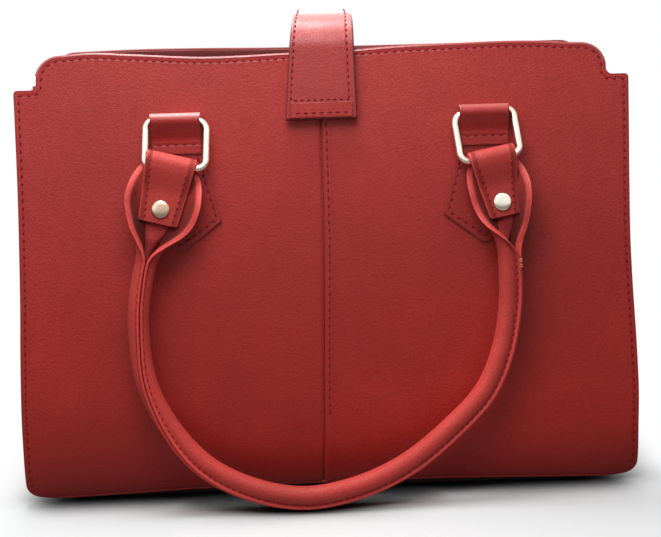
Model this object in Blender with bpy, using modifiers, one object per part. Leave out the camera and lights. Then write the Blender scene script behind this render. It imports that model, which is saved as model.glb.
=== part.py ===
"""Leather tote bag with two handles on rings and a magnetic closing strap.

Metres. The origin is on the floor under the middle of the bag, +X to the right of someone
who faces the front, +Y away from them, +Z up. The back is the front turned half a turn
about Z, except for the strap, which is fixed to the back and closes on the front.
"""

import math

import bmesh
import bpy
import numpy as np

# Panels
BAG_WIDTH = 0.380
CROWN_HEIGHT = 0.278
CROWN_RISE = 0.0200
LEDGE_WIDTH = 0.014
CROWN_CORNER = 0.015
LEDGE_FILLET = 0.004
BOTTOM_CORNER = 0.016
BOTTOM_ARCH = 0.003
PANEL_BOTTOM = 0.0050
MOUTH_HALF_DEPTH = 0.030
BOTTOM_HALF_DEPTH = 0.0575
PANEL_LEAN = math.radians(8.5)
BELLY_HEIGHT = 0.065
LEATHER = 0.0020
PIECE_GAP = 0.0003

# Gussets, base, lining
SEAM_FLANGE = 0.008
GUSSET_LEATHER = 0.0016
GUSSET_FOLD = 0.042
GUSSET_FOLD_START = 0.050
BASE_RIM_HEIGHT = 0.014
BASE_CORNER = 0.005
BOARD_THICKNESS = 0.0025
PIPING_RADIUS = 0.0014
FACING_LEATHER = 0.0012
FACING_DEPTH = 0.035
FACING_HALF_WIDTH = 0.172
LINING_CLOTH = 0.0008
LINING_OVERLAP = 0.008

# Rings and the tabs that hold them
RING_WIRE = 0.0043
RING_WIDTH = 0.0415
RING_HEIGHT = 0.0335
RING_CORNER = 0.0075
RING_LEFT_X = -0.0915
RING_RIGHT_X = 0.0985
TAB_LEATHER = 0.0016
TAB_WIDTH = 0.0306
TAB_BELOW_CROWN = 0.037
TAB_FRONT_LENGTH = 0.025
TAB_BORE = 0.0031
PATCH_WIDTH = 0.052
PATCH_SHOULDER = 0.067
PATCH_LENGTH = 0.085
BAR_STANDOFF = 0.0092

# Handles
HANDLE_LEAN = math.radians(9.2)
HANDLE_DROP = 0.2041
HANDLE_LEATHER = 0.0022
HANDLE_EDGE = 0.0016
TUBE_RADIUS = 0.00495
TUBE_FORWARD = 0.0030
HANDLE_BORE = 0.00415
# The bar lies against the back of the loose fold, so the handle stands this far out from it.
HANDLE_FORWARD = 0.0016
FLAP_LENGTH = 0.0350
CORE_CLEARANCE = 0.00035
CORE_END_GAP = 0.005

# Rivets
RIVET_DROP = 0.0265
RIVET_CAP_RADIUS = 0.0055
RIVET_CAP_HEIGHT = 0.0018
RIVET_POST_RADIUS = 0.0017
RIVET_TAIL_RADIUS = 0.0045
RIVET_TAIL_HEIGHT = 0.0010
RIVET_HOLE_CLEARANCE = 0.0003

# Closing strap
STRAP_LEATHER = 0.0016
STRAP_LINING = 0.0012
STRAP_RISE = 0.0240
STRAP_BACK_HALF_WIDTH = 0.0165
STRAP_BEND_HALF_WIDTH = 0.0197
STRAP_TIP_HALF_WIDTH = 0.0218
STRAP_DROP = 0.0432
STRAP_ANCHOR_LENGTH = 0.055
STRAP_HINGE_GAP = 0.0003
END_BAND_LENGTH = 0.010
END_BAND_LEATHER = 0.0010
END_BAND_INSET = 0.0022
MAGNET_RADIUS = 0.009
MAGNET_THICKNESS = 0.0012
MAGNET_SEAT = 0.0002
MAGNET_BELOW_CROWN = 0.030

HALF_WIDTH = BAG_WIDTH / 2
LEDGE_HEIGHT = CROWN_HEIGHT - CROWN_RISE
COS_LEAN = math.cos(PANEL_LEAN)
SIN_LEAN = math.sin(PANEL_LEAN)


def clear_scene():
    for obj in list(bpy.data.objects):
        bpy.data.objects.remove(obj, do_unlink=True)


def collection(name, helper=False):
    made = bpy.data.collections.new(name)
    bpy.context.scene.collection.children.link(made)
    made.hide_render = helper
    return made


def material(name, colour, roughness, metallic=0.0):
    made = bpy.data.materials.new(name)
    made.use_nodes = True
    made.diffuse_color = (*colour, 1.0)
    surface = made.node_tree.nodes["Principled BSDF"]
    surface.inputs["Base Color"].default_value = (*colour, 1.0)
    surface.inputs["Roughness"].default_value = roughness
    surface.inputs["Metallic"].default_value = metallic
    return made


def leather(name, shade=1.0):
    return material(name, (0.33 * shade, 0.035 * shade, 0.032 * shade), 0.5)


def empty(name, parent=None, location=(0, 0, 0), rotation=(0, 0, 0)):
    made = bpy.data.objects.new(name, None)
    made.empty_display_size = 0.01
    made.location = location
    made.rotation_euler = rotation
    made.parent = parent
    BAG.objects.link(made)
    return made


def mesh_object(name, points, faces, surface=None, parent=None, group=None):
    mesh = bpy.data.meshes.new(name)
    mesh.from_pydata([tuple(map(float, p)) for p in points], [], faces)
    made = bpy.data.objects.new(name, mesh)
    made.parent = parent
    (group or BAG).objects.link(made)
    if surface:
        mesh.materials.append(surface)
    return made


def face_out(obj):
    """Turns the faces of a closed mesh outward."""
    work = bmesh.new()
    work.from_mesh(obj.data)
    bmesh.ops.recalc_face_normals(work, faces=work.faces)
    work.to_mesh(obj.data)
    work.free()


def shade_round(obj):
    for face in obj.data.polygons:
        face.use_smooth = True


def solidify(obj, thickness, offset=0.0):
    made = obj.modifiers.new("thickness", "SOLIDIFY")
    made.thickness = thickness
    made.offset = offset
    made.use_even_offset = True


def boolean(obj, other, operation):
    made = obj.modifiers.new("cut", "BOOLEAN")
    made.object = other
    made.operation = operation
    made.solver = "EXACT"


def soften_edges(obj, width):
    made = obj.modifiers.new("edge", "BEVEL")
    made.width = width
    made.segments = 1
    made.limit_method = "ANGLE"
    made.angle_limit = math.radians(60)


def as_mesh(curve_obj, group, surface=None):
    """The curve object as a mesh object in the same place, with its doubled points joined."""
    bpy.context.view_layer.update()
    graph = bpy.context.evaluated_depsgraph_get()
    mesh = bpy.data.meshes.new_from_object(curve_obj.evaluated_get(graph))
    work = bmesh.new()
    work.from_mesh(mesh)
    bmesh.ops.remove_doubles(work, verts=work.verts, dist=1e-6)
    bmesh.ops.recalc_face_normals(work, faces=work.faces)
    work.to_mesh(mesh)
    work.free()
    name = curve_obj.name
    parent = curve_obj.parent
    matrix = curve_obj.matrix_basis.copy()
    bpy.data.objects.remove(curve_obj, do_unlink=True)
    mesh.name = name
    made = bpy.data.objects.new(name, mesh)
    made.parent = parent
    made.matrix_basis = matrix
    mesh.materials.clear()
    if surface:
        mesh.materials.append(surface)
    group.objects.link(made)
    return made


def rounded(corners, steps=5):
    """Closed outline from corners (x, y, radius), with each corner turned into an arc."""
    points = []
    count = len(corners)
    for i, (x, y, radius) in enumerate(corners):
        here = np.array([x, y])
        before = np.array(corners[i - 1][:2]) - here
        after = np.array(corners[(i + 1) % count][:2]) - here
        before = before / np.linalg.norm(before)
        after = after / np.linalg.norm(after)
        half = math.acos(float(np.clip(before @ after, -1, 1))) / 2
        if radius <= 0 or abs(half - math.pi / 2) < 1e-4:
            points.append(here)
            continue
        bisector = (before + after) / np.linalg.norm(before + after)
        centre = here + bisector * radius / math.sin(half)
        start = here + before * radius / math.tan(half) - centre
        end = here + after * radius / math.tan(half) - centre
        turn = math.atan2(start[0] * end[1] - start[1] * end[0], start @ end)
        for step in range(steps + 1):
            a = turn * step / steps
            points.append(
                centre
                + np.array(
                    [
                        start[0] * math.cos(a) - start[1] * math.sin(a),
                        start[0] * math.sin(a) + start[1] * math.cos(a),
                    ]
                )
            )
    return np.array(points)


def moved_sideways(line, distance):
    """An open line of points in a plane, moved to its left, with mitred corners."""
    line = np.asarray(line, float)
    run = np.diff(line, axis=0)
    run /= np.linalg.norm(run, axis=1)[:, None]
    left = np.stack([-run[:, 1], run[:, 0]], axis=1)
    first = np.vstack([left[:1], left])
    second = np.vstack([left, left[-1:]])
    both = first + second
    both /= (1 + (first * second).sum(axis=1))[:, None]
    return line + both * distance


def smooth_line(points, count):
    """A line of count points, evenly spaced, on the curve through the given points."""
    points = np.asarray(points, float)
    padded = np.vstack([2 * points[0] - points[1], points, 2 * points[-1] - points[-2]])
    dense = []
    for i in range(len(points) - 1):
        a, b, c, d = padded[i : i + 4]
        for t in np.linspace(0, 1, 24, endpoint=False):
            dense.append(
                0.5
                * (
                    2 * b
                    + (c - a) * t
                    + (2 * a - 5 * b + 4 * c - d) * t**2
                    + (3 * b - 3 * c + d - a) * t**3
                )
            )
    dense.append(points[-1])
    dense = np.array(dense)
    along = np.concatenate([[0], np.cumsum(np.linalg.norm(np.diff(dense, axis=0), axis=1))])
    even = np.linspace(0, along[-1], count)
    return np.stack([np.interp(even, along, column) for column in dense.T], axis=1)


def bezier(a, b, c, d, count):
    t = np.linspace(0, 1, count)[:, None]
    a, b, c, d = map(np.asarray, (a, b, c, d))
    return a * (1 - t) ** 3 + 3 * b * t * (1 - t) ** 2 + 3 * c * t**2 * (1 - t) + d * t**3


def smoothstep(x, low, high):
    t = np.clip((x - low) / (high - low), 0, 1)
    return t * t * (3 - 2 * t)


def prism(name, outline, depth_low, depth_high, parent=None):
    """A cutter: the outline drawn in X and Z, pulled along Y."""
    curve = bpy.data.curves.new(name, "CURVE")
    curve.dimensions = "2D"
    curve.fill_mode = "BOTH"
    curve.extrude = (depth_high - depth_low) / 2
    spline = curve.splines.new("POLY")
    spline.points.add(len(outline) - 1)
    for point, (x, z) in zip(spline.points, outline):
        point.co = (x, z, 0, 1)
    spline.use_cyclic_u = True
    drawn = bpy.data.objects.new(name, curve)
    drawn.location = (0, (depth_low + depth_high) / 2, 0)
    drawn.rotation_euler = (math.pi / 2, 0, 0)
    drawn.parent = parent
    CUTTERS.objects.link(drawn)
    made = as_mesh(drawn, CUTTERS)
    made.display_type = "WIRE"
    return made


def sheet(name, line, x_low, x_high, surface, parent=None):
    """An open surface: the line (y, z) drawn from x_low to x_high."""
    points = [(x_low, y, z) for y, z in line] + [(x_high, y, z) for y, z in line]
    n = len(line)
    faces = [(i, n + i, n + i + 1, i + 1) for i in range(n - 1)]
    return mesh_object(name, points, faces, surface, parent)


def strip(name, line, half_widths, thickness, surface, parent=None, x=0.0):
    """A leather strip with a width of its own at each point of its line (y, z)."""
    points = [(x - w, y, z) for (y, z), w in zip(line, half_widths)]
    points += [(x + w, y, z) for (y, z), w in zip(line, half_widths)]
    n = len(line)
    faces = [(i, n + i, n + i + 1, i + 1) for i in range(n - 1)]
    made = mesh_object(name, points, faces, surface, parent)
    solidify(made, thickness)
    return made


def disc(name, radius, thickness, surface, parent, location):
    """A flat disc with its axis along Y, turned from its profile."""
    edge = min(0.0002, thickness / 4)
    half = thickness / 2
    profile = [
        (0, half),
        (radius - edge, half),
        (radius, half - edge),
        (radius, edge - half),
        (radius - edge, -half),
        (0, -half),
    ]
    made = turned(name, profile, 32, surface, parent)
    made.location = location
    made.rotation_euler = (math.pi / 2, 0, 0)
    return made


def turned(name, profile, steps, surface, parent):
    """A solid turned about its own Z from a profile (radius, height), top to bottom."""
    points = [(radius, 0, height) for radius, height in profile]
    edges = [(i, i + 1) for i in range(len(points) - 1)]
    mesh = bpy.data.meshes.new(name)
    mesh.from_pydata(points, edges, [])
    mesh.materials.append(surface)
    made = bpy.data.objects.new(name, mesh)
    made.parent = parent
    BAG.objects.link(made)
    screw = made.modifiers.new("turn", "SCREW")
    screw.axis = "Z"
    screw.steps = steps
    screw.render_steps = steps
    screw.use_merge_vertices = True
    screw.merge_threshold = 0.00001
    screw.use_smooth_shade = True
    return made


def panel_depth(z):
    """How far in front of the middle the straight part of a panel stands at a height."""
    return MOUTH_HALF_DEPTH + (CROWN_HEIGHT - z) * math.tan(PANEL_LEAN)


def panel_line():
    """The outer face of the front panel from its bottom to its top, as (y, z)."""
    bottom = np.array([-BOTTOM_HALF_DEPTH, PANEL_BOTTOM - 0.0015])
    belly = np.array([-panel_depth(BELLY_HEIGHT), BELLY_HEIGHT])
    lower = bezier(
        bottom,
        bottom + 0.0145 * np.array([-0.55, 0.835]),
        belly - 0.024 * np.array([SIN_LEAN, COS_LEAN]),
        belly,
        10,
    )
    top = np.array([-panel_depth(CROWN_HEIGHT), CROWN_HEIGHT])
    top = top + 0.004 * np.array([SIN_LEAN, COS_LEAN])
    return np.vstack([lower, [belly + (top - belly) * 0.45], [top]])


def bottom_edge(x):
    """Height of a panel's bottom edge, which rises in the middle."""
    return PANEL_BOTTOM + BOTTOM_ARCH * (1 - (x / HALF_WIDTH) ** 2)


def side_edge(z):
    """Half the width of a panel at a height: it gets less in the rounded bottom corners."""
    drop = BOTTOM_CORNER - (z - PANEL_BOTTOM)
    drop = min(max(drop, 0.0), BOTTOM_CORNER)
    return HALF_WIDTH - BOTTOM_CORNER + math.sqrt(BOTTOM_CORNER**2 - drop**2)


def half_outline(sign):
    """Outline of one half of a panel in X and Z. The halves meet at the centre seam."""
    inner = PIECE_GAP / 2
    arch = [
        (x, bottom_edge(x), 0.0)
        for x in np.linspace(inner, HALF_WIDTH - 0.9 * LEDGE_WIDTH - BOTTOM_CORNER, 7)
    ]
    corners = arch + [
        (HALF_WIDTH, PANEL_BOTTOM, BOTTOM_CORNER),
        (HALF_WIDTH, LEDGE_HEIGHT, 0.002),
        (HALF_WIDTH - LEDGE_WIDTH, LEDGE_HEIGHT, LEDGE_FILLET),
        (HALF_WIDTH - LEDGE_WIDTH, CROWN_HEIGHT, CROWN_CORNER),
        (inner, CROWN_HEIGHT, 0.0),
    ]
    outline = rounded(corners, 6)
    return outline * (sign, 1)


def make_panels(side, root):
    line = panel_line()
    for label, sign in (("left", -1), ("right", 1)):
        if side == "back":
            label = {"left": "right", "right": "left"}[label]
        name = f"{side}_panel_{label}"
        x_low, x_high = sorted((0, sign * (HALF_WIDTH + 0.002)))
        panel = sheet(name, line, x_low, x_high, leather(name), root)
        solidify(panel, LEATHER, -1)
        cutter = prism(f"{name}_outline", half_outline(sign), -0.1, 0.0, root)
        boolean(panel, cutter, "INTERSECT")
        soften_edges(panel, 0.0003)

    name = f"{side}_facing"
    line = moved_sideways(line, -(LEATHER + PIECE_GAP + FACING_LEATHER / 2))
    facing = sheet(name, line[-2:], -HALF_WIDTH, HALF_WIDTH, leather(name, 0.85), root)
    solidify(facing, FACING_LEATHER)
    low = CROWN_HEIGHT - FACING_DEPTH * COS_LEAN
    high = CROWN_HEIGHT - 0.0008
    wide = FACING_HALF_WIDTH
    outline = rounded(
        [(-wide, low, 0), (wide, low, 0), (wide, high, 0.013), (-wide, high, 0.013)]
    )
    boolean(facing, prism(f"{name}_outline", outline, -0.1, 0.0, root), "INTERSECT")

    name = f"{side}_bottom_piping"
    reach = HALF_WIDTH - BOTTOM_CORNER - 0.002
    curve = bpy.data.curves.new(name, "CURVE")
    curve.dimensions = "3D"
    curve.bevel_depth = PIPING_RADIUS
    curve.bevel_resolution = 2
    curve.use_fill_caps = True
    spline = curve.splines.new("POLY")
    stops = np.linspace(-reach, reach, 13)
    spline.points.add(len(stops) - 1)
    middle = moved_sideways(panel_line(), -LEATHER / 2)
    for point, x in zip(spline.points, stops):
        low = bottom_edge(x)
        y = float(np.interp(low, middle[:, 1], middle[:, 0])) + 0.0002
        point.co = (x, y, low - PIECE_GAP - PIPING_RADIUS, 1)
    drawn = bpy.data.objects.new(name, curve)
    drawn.parent = root
    CUTTERS.objects.link(drawn)
    piping = as_mesh(drawn, BAG, leather(name, 1.5))
    shade_round(piping)


def gusset_stations():
    """Heights, half depths and fold depths of the gussets, along the inside of the panels."""
    inset = LEATHER + PIECE_GAP + GUSSET_LEATHER / 2
    inside = moved_sideways(panel_line(), -inset)
    heights = np.concatenate(
        [
            [0.0004, 0.0035, 0.0065, 0.0100, 0.0145, 0.0200],
            [0.0300, 0.0420, GUSSET_FOLD_START],
            np.linspace(GUSSET_FOLD_START, LEDGE_HEIGHT - 0.0005, 12)[1:],
        ]
    )
    depths = np.interp(heights, inside[:, 1], -inside[:, 0])
    folds = np.clip(heights - GUSSET_FOLD_START, 0, None)
    folds = folds / (LEDGE_HEIGHT - GUSSET_FOLD_START) * GUSSET_FOLD
    edges = np.array([side_edge(max(z, PANEL_BOTTOM + 0.0004)) for z in heights])
    return heights, depths, folds, edges


def loft_faces(rows, count, spans, toward_next):
    """Triangles between rows of points. Each span of a row joins two of its points, and its
    triangles are parted from the low first point to the high second one, or the other way."""
    faces = []
    for r in range(rows - 1):
        low, high = r * count, (r + 1) * count
        for (a, b), rising in zip(spans, toward_next):
            if rising:
                faces += [(low + a, low + b, high + b), (low + a, high + b, high + a)]
            else:
                faces += [(low + a, low + b, high + a), (low + b, high + b, high + a)]
    return faces


def make_gusset(label, sign):
    """A leather side sewn between the two panels, folded inward above its lower part."""
    name = f"gusset_{label}"
    points = []
    for z, depth, fold, edge in zip(*gusset_stations()):
        edge = edge - 0.0003
        bend = edge - SEAM_FLANGE
        near = fold * 0.93
        turn = 0.0018 * fold / depth
        section = [
            (edge, -depth),
            (bend + 0.002, -depth),
            (bend - turn, -depth + 0.0018),
            (bend - near, -depth * 0.07),
            (bend - near, depth * 0.07),
            (bend - turn, depth - 0.0018),
            (bend + 0.002, depth),
            (edge, depth),
        ]
        points += [(sign * x, y, z) for x, y in section]
    spans = [(c, c + 1) for c in range(7)]
    faces = loft_faces(len(points) // 8, 8, spans, [True] * 4 + [False] * 3)
    gusset = mesh_object(name, points, faces, leather(name, 0.9))
    solidify(gusset, GUSSET_LEATHER)


def make_base():
    reach = side_edge(PANEL_BOTTOM + 0.0004) - 0.0003 - SEAM_FLANGE
    reach -= GUSSET_LEATHER / 2 + PIECE_GAP
    depth = BOTTOM_HALF_DEPTH - LEATHER - PIECE_GAP
    corner = [
        (depth - BASE_CORNER * (1 - math.sin(a)), BASE_CORNER * (1 - math.cos(a)))
        for a in np.radians([0, 30, 60, 90])
    ]
    right = corner + [(depth + 0.0012, BASE_RIM_HEIGHT)]
    left = [(-y, z) for y, z in reversed(right)]
    base = sheet("base_panel", left + right, -reach, reach, leather("base_panel", 0.8))
    solidify(base, LEATHER, 1)

    wide = reach - 0.0010
    deep = depth - LEATHER - BASE_CORNER * 0.45
    low = LEATHER + PIECE_GAP
    high = low + BOARD_THICKNESS
    outline = rounded(
        [(-wide, -deep, 0.004), (wide, -deep, 0.004), (wide, deep, 0.004), (-wide, deep, 0.004)],
        3,
    )
    n = len(outline)
    points = [(x, y, low) for x, y in outline] + [(x, y, high) for x, y in outline]
    faces = [tuple(range(n)), tuple(range(n, 2 * n))]
    faces += [(i, (i + 1) % n, n + (i + 1) % n, n + i) for i in range(n)]
    surface = material("base_board", (0.19, 0.13, 0.08), 0.8)
    board = mesh_object("base_board", points, faces, surface)
    face_out(board)


def make_lining():
    """A cloth pouch, open at the top, that follows the panels and the folded gussets."""
    floor = LEATHER + PIECE_GAP + BOARD_THICKNESS + PIECE_GAP + LINING_CLOTH / 2
    top = CROWN_HEIGHT - (FACING_DEPTH - LINING_OVERLAP) * COS_LEAN
    behind = LEATHER + PIECE_GAP + FACING_LEATHER + PIECE_GAP + LINING_CLOTH / 2
    line = moved_sideways(panel_line(), -behind)
    clear = GUSSET_LEATHER / 2 + 0.0009 + LINING_CLOTH / 2
    heights, depths, folds, edges = gusset_stations()
    over_rim = BASE_RIM_HEIGHT + 0.0015
    above = heights[(heights > over_rim + 0.010) & (heights < top - 0.003)]
    stops = np.concatenate([[floor, over_rim], above, [top]])
    inside_rim = BOTTOM_HALF_DEPTH - 2 * LEATHER - 2 * PIECE_GAP - LINING_CLOTH / 2
    points = []
    for z in stops:
        front = float(np.interp(z, line[:, 1], -line[:, 0]))
        if z < over_rim + 0.001:
            front = inside_rim - (0.0012 if z < 0.012 else 0.0)
        depth, fold, edge = (np.interp(z, heights, a) for a in (depths, folds, edges))
        bend = edge - 0.0003 - SEAM_FLANGE
        if z < 0.012:
            bend -= 0.002
        length = math.hypot(fold, depth)
        along = np.array([-fold, depth]) / length
        aside = np.array([-depth, -fold]) / length
        start = np.array([bend, -depth]) + aside * clear
        corner = start + along * (-front - start[1]) / along[1]
        middle = start + along * (0 - start[1]) / along[1]
        corner[0] = min(corner[0], bend - clear)
        quarter = [tuple(corner), tuple(middle)]
        ring = [
            (-quarter[0][0], quarter[0][1]),
            quarter[0],
            quarter[1],
            (quarter[0][0], -quarter[0][1]),
            (-quarter[0][0], -quarter[0][1]),
            (-quarter[1][0], 0.0),
        ]
        points += [(x, y, z) for x, y in ring]
    spans = [(c, (c + 1) % 6) for c in range(6)]
    faces = loft_faces(len(stops), 6, spans, [True, True, False, True, True, False])
    faces.append((5, 4, 3, 2, 1, 0))
    surface = material("lining", (0.62, 0.55, 0.42), 0.85)
    lining = mesh_object("lining", points, faces, surface)
    solidify(lining, LINING_CLOTH)


def make_tab(name, parent):
    """A patch sewn to the panel that carries on up, round the ring's bar and down in front.

    The parent stands on the panel's face at the top of the fold.
    """
    inner = TAB_BORE + TAB_LEATHER / 2
    bar = TAB_LEATHER + TAB_BORE
    rest = PIECE_GAP / 2 + TAB_LEATHER / 2
    half = TAB_WIDTH / 2
    line = [
        (-rest, -PATCH_LENGTH, 0.0008),
        (-rest, -PATCH_SHOULDER, PATCH_WIDTH / 2),
        (-rest, -(TAB_FRONT_LENGTH - 0.002), half),
    ]
    for a in np.radians(np.linspace(-12, 210, 13)):
        y = -bar + inner * math.cos(a)
        z = -bar + inner * math.sin(a)
        line.append((min(y, -rest), z, half))
    front = rest + TAB_LEATHER + PIECE_GAP
    line.append((-(front + 0.0010), -bar - 0.0092, half))
    line.append((-front, -bar - 0.0120, half))
    line.append((-front, -TAB_FRONT_LENGTH, half))
    strip(name, [(y, z) for y, z, _ in line], [w for _, _, w in line], TAB_LEATHER, leather(name), parent)


def ring_outline():
    """Centre line of a ring's wire, from the middle of its top bar at (0, 0)."""
    half = (RING_WIDTH - RING_WIRE) / 2
    drop = RING_HEIGHT - RING_WIRE
    radius = RING_CORNER - RING_WIRE / 2
    corners = [(-half, 0, radius), (half, 0, radius), (half, -drop, radius), (-half, -drop, radius)]
    return rounded(corners, 5)


def make_ring(name, parent):
    curve = bpy.data.curves.new(name, "CURVE")
    curve.dimensions = "3D"
    curve.bevel_depth = RING_WIRE / 2
    curve.bevel_resolution = 2
    outline = ring_outline()
    spline = curve.splines.new("POLY")
    spline.points.add(len(outline) - 1)
    for point, (x, z) in zip(spline.points, outline):
        point.co = (x, 0, z, 1)
    spline.use_cyclic_u = True
    drawn = bpy.data.objects.new(name, curve)
    drawn.parent = parent
    CUTTERS.objects.link(drawn)
    surface = material(name, (0.83, 0.71, 0.50), 0.22, 1.0)
    ring = as_mesh(drawn, BAG, surface)
    shade_round(ring)


# How far outward each end of a handle has moved at a distance below the ring's lower bar.
LEFT_END = ((0.0, 0.0), (0.0003, 0.004), (0.0030, 0.0135), (0.0095, 0.027), (0.0150, 0.0405),
            (0.0195, 0.0545), (0.0230, 0.0685), (0.0258, 0.0855))
RIGHT_END = ((0.0, 0.0), (0.0003, 0.004), (0.0028, 0.0135), (0.0086, 0.027), (0.0107, 0.0405),
             (0.0112, 0.0545), (0.0114, 0.0685))
# The hanging loop between the ends: across as a part of the ring spacing, down as a part of
# the handle's drop.
LOOP = ((-0.137, 0.523), (-0.120, 0.6375), (-0.052, 0.773), (0.070, 0.900), (0.216, 0.970),
        (0.380, 1.000), (0.525, 0.981), (0.692, 0.920), (0.853, 0.810), (0.975, 0.692),
        (1.032, 0.570), (1.055, 0.458))

# The band cut across at a distance from the bar: half of its flat back, half of its whole
# width, how far each side curls round, and how far its edge turns back out.
BAND = (
    (0.000, 0.0100, 0.0148, 0.02, 0.0),
    (0.003, 0.0105, 0.0160, 0.08, 0.0),
    (0.008, 0.0115, 0.0190, 0.35, 0.0),
    (0.015, 0.0130, 0.0230, 0.75, 0.0),
    (0.0225, 0.0130, 0.0258, 1.10, 0.0),
    (0.0305, 0.0126, 0.0264, 1.36, 0.0),
    (0.0365, 0.0100, 0.0255, 1.60, -0.08),
    (0.0425, 0.0070, 0.0235, 1.90, -0.30),
    (0.0485, 0.0040, 0.0215, 2.30, -0.65),
    (0.0545, 0.0018, 0.0195, 2.95, -1.30),
    (0.0595, 0.0005, 0.01825, 3.04, -1.50),
    (0.0685, 0.0005, 0.01825, 3.04, -1.50),
)
EDGE_TURN = 0.0027
RIGHT_STRETCH = 1.16
TUBE_START = BAND[-2][0]
TUBE_CUTS = 23


def band_section(flat, half, sweep, turn):
    """Closed outline (across, forward) of the leather band, cut across its length."""
    curl = half - flat - EDGE_TURN
    radius = curl / sweep
    side = [(flat, 0.0)]
    for step in range(1, 6):
        a = sweep * step / 5
        side.append((flat + radius * math.sin(a), radius * (1 - math.cos(a))))
    x, v = side[-1]
    heading = sweep + turn
    side.append((x + EDGE_TURN * math.cos(heading), v + EDGE_TURN * math.sin(heading)))
    middle = np.array([(-x, v) for x, v in reversed(side)] + side)
    thick = np.array([HANDLE_LEATHER] * 4 + [0.0020, HANDLE_EDGE, HANDLE_EDGE]) / 2
    thick = np.concatenate([thick[::-1], thick])[:, None]
    inner = middle + (moved_sideways(middle, 1.0) - middle) * thick
    outer = middle + (moved_sideways(middle, -1.0) - middle) * thick
    return np.vstack([outer, inner[::-1]])


def handle_frames():
    """Centre line of the handle from bar to bar, as (x, drop), with its distances."""
    spacing = RING_RIGHT_X - RING_LEFT_X
    points = [(RING_LEFT_X - out, down) for out, down in LEFT_END]
    points += [(RING_LEFT_X + u * spacing, v * HANDLE_DROP) for u, v in LOOP]
    points += [(RING_RIGHT_X + out, down) for out, down in reversed(RIGHT_END)]
    line = smooth_line(points, 600)
    along = np.concatenate([[0], np.cumsum(np.linalg.norm(np.diff(line, axis=0), axis=1))])
    heading = np.gradient(line, axis=0)
    heading /= np.linalg.norm(heading, axis=1)[:, None]
    return line, along, heading


def tube_stops(length):
    """Distances from the first bar at which the closed, round part of the handle is cut."""
    return np.linspace(TUBE_START, length - TUBE_START * RIGHT_STRETCH, TUBE_CUTS)


def twist_at(s, length):
    """How far the handle's seam is turned from the front toward the outside of the loop."""
    stops = [0, 0.045, 0.12, 0.18, 0.25, 0.36, 0.50, 0.65, 0.80]
    angles = [0, 0, -6, -12, 4, 50, 78, 72, 62]
    stops = [v * length for v in stops] + [length - v for v in (0.0645, 0.0545, 0.0475, 0.0415, 0)]
    return math.radians(np.interp(s, stops, angles + [55, 36, 15, 0, 0]))


def layer_offset(down, side):
    """How far a layer of the handle's end stands from the plane of the bar."""
    bar = HANDLE_BORE + HANDLE_LEATHER / 2
    close = (HANDLE_LEATHER + PIECE_GAP) / 2
    return side * (bar + (close - bar) * smoothstep(down, 0.001, 0.019))


def handle_stations():
    """The places along a handle where its band is cut: from end to end, (place, across,
    forward, width numbers), in X, Y forward and Z down of the handle's plane."""
    line, along, heading = handle_frames()
    length = along[-1]
    stations = []
    width_at = [row[0] for row in BAND]

    def numbers(distance):
        return [np.interp(distance, width_at, [row[i] for row in BAND]) for i in (1, 2, 3, 4)]

    def at(s):
        place = [np.interp(s, along, line[:, i]) for i in (0, 1)]
        run = np.array([np.interp(s, along, heading[:, i]) for i in (0, 1)])
        return np.array(place), run / np.linalg.norm(run)

    def square_across(run, distance):
        """The direction across the band, which is square to the bar where it turns over it."""
        lean = math.atan2(run[0], run[1]) * smoothstep(distance, 0.0, 0.014)
        return np.array([math.cos(lean), -math.sin(lean)])

    def end_part(sign):
        """The flap in front and the turn over the bar, from the flap's end to the back."""
        part = []
        for down in (FLAP_LENGTH, 0.0305, 0.0235, 0.017, 0.0115, 0.007, 0.003):
            s = down * 1.03 if sign > 0 else length - down * 1.03
            place, run = at(s)
            across = square_across(run * sign, down)
            half = 0.0112 + (0.0145 - 0.0112) * (1 - down / FLAP_LENGTH)
            if down == FLAP_LENGTH:
                half -= 0.0006
            part.append(
                (
                    np.array([place[0], layer_offset(down, 1), place[1]]),
                    np.array([across[0], 0, across[1]]) * sign,
                    np.array([0, -1.0, 0]),
                    [half * 0.60, half, 0.02, 0.0],
                )
            )
        x = RING_LEFT_X if sign > 0 else RING_RIGHT_X
        around = HANDLE_BORE + HANDLE_LEATHER / 2
        for a in np.radians([0, 36, 72, 108, 144]):
            out = np.array([0, math.cos(a), -math.sin(a)])
            part.append(
                (
                    np.array([x, 0, 0]) + around * out,
                    np.array([1.0, 0, 0]) * sign,
                    -out,
                    [0.0087, 0.0145, 0.02, 0.0],
                )
            )
        return part

    stations += end_part(1)
    near = np.array([row[0] for row in BAND[:-2]])
    far = near * RIGHT_STRETCH
    for s in np.concatenate([near, tube_stops(length), length - far[::-1]]):
        place, run = at(s)
        left_side = s < length / 2
        distance = s if left_side else (length - s) / RIGHT_STRETCH
        flat, half, sweep, turn = numbers(distance)
        end = 1 if left_side else -1
        square = square_across(run * end, distance) * end
        outward = np.array([-square[0], 0, -square[1]])
        forward = np.array([0, 1.0, 0])
        twist = twist_at(s, length)
        facing = math.cos(twist) * forward + math.sin(twist) * outward
        across = -math.cos(twist) * outward + math.sin(twist) * forward
        back = layer_offset(distance, -1)
        back += (TUBE_FORWARD - TUBE_RADIUS - back) * smoothstep(distance, 0.0325, 0.0625)
        centre = np.array([place[0], back + TUBE_RADIUS, place[1]])
        stations.append(
            (centre - TUBE_RADIUS * facing, across, facing, [flat, half, sweep, turn])
        )
    stations += end_part(-1)[::-1]
    return stations


def to_handle(point):
    """From the handle's plane (x, forward, down) to its object coordinates."""
    return (point[0], -point[1], -point[2])


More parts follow.
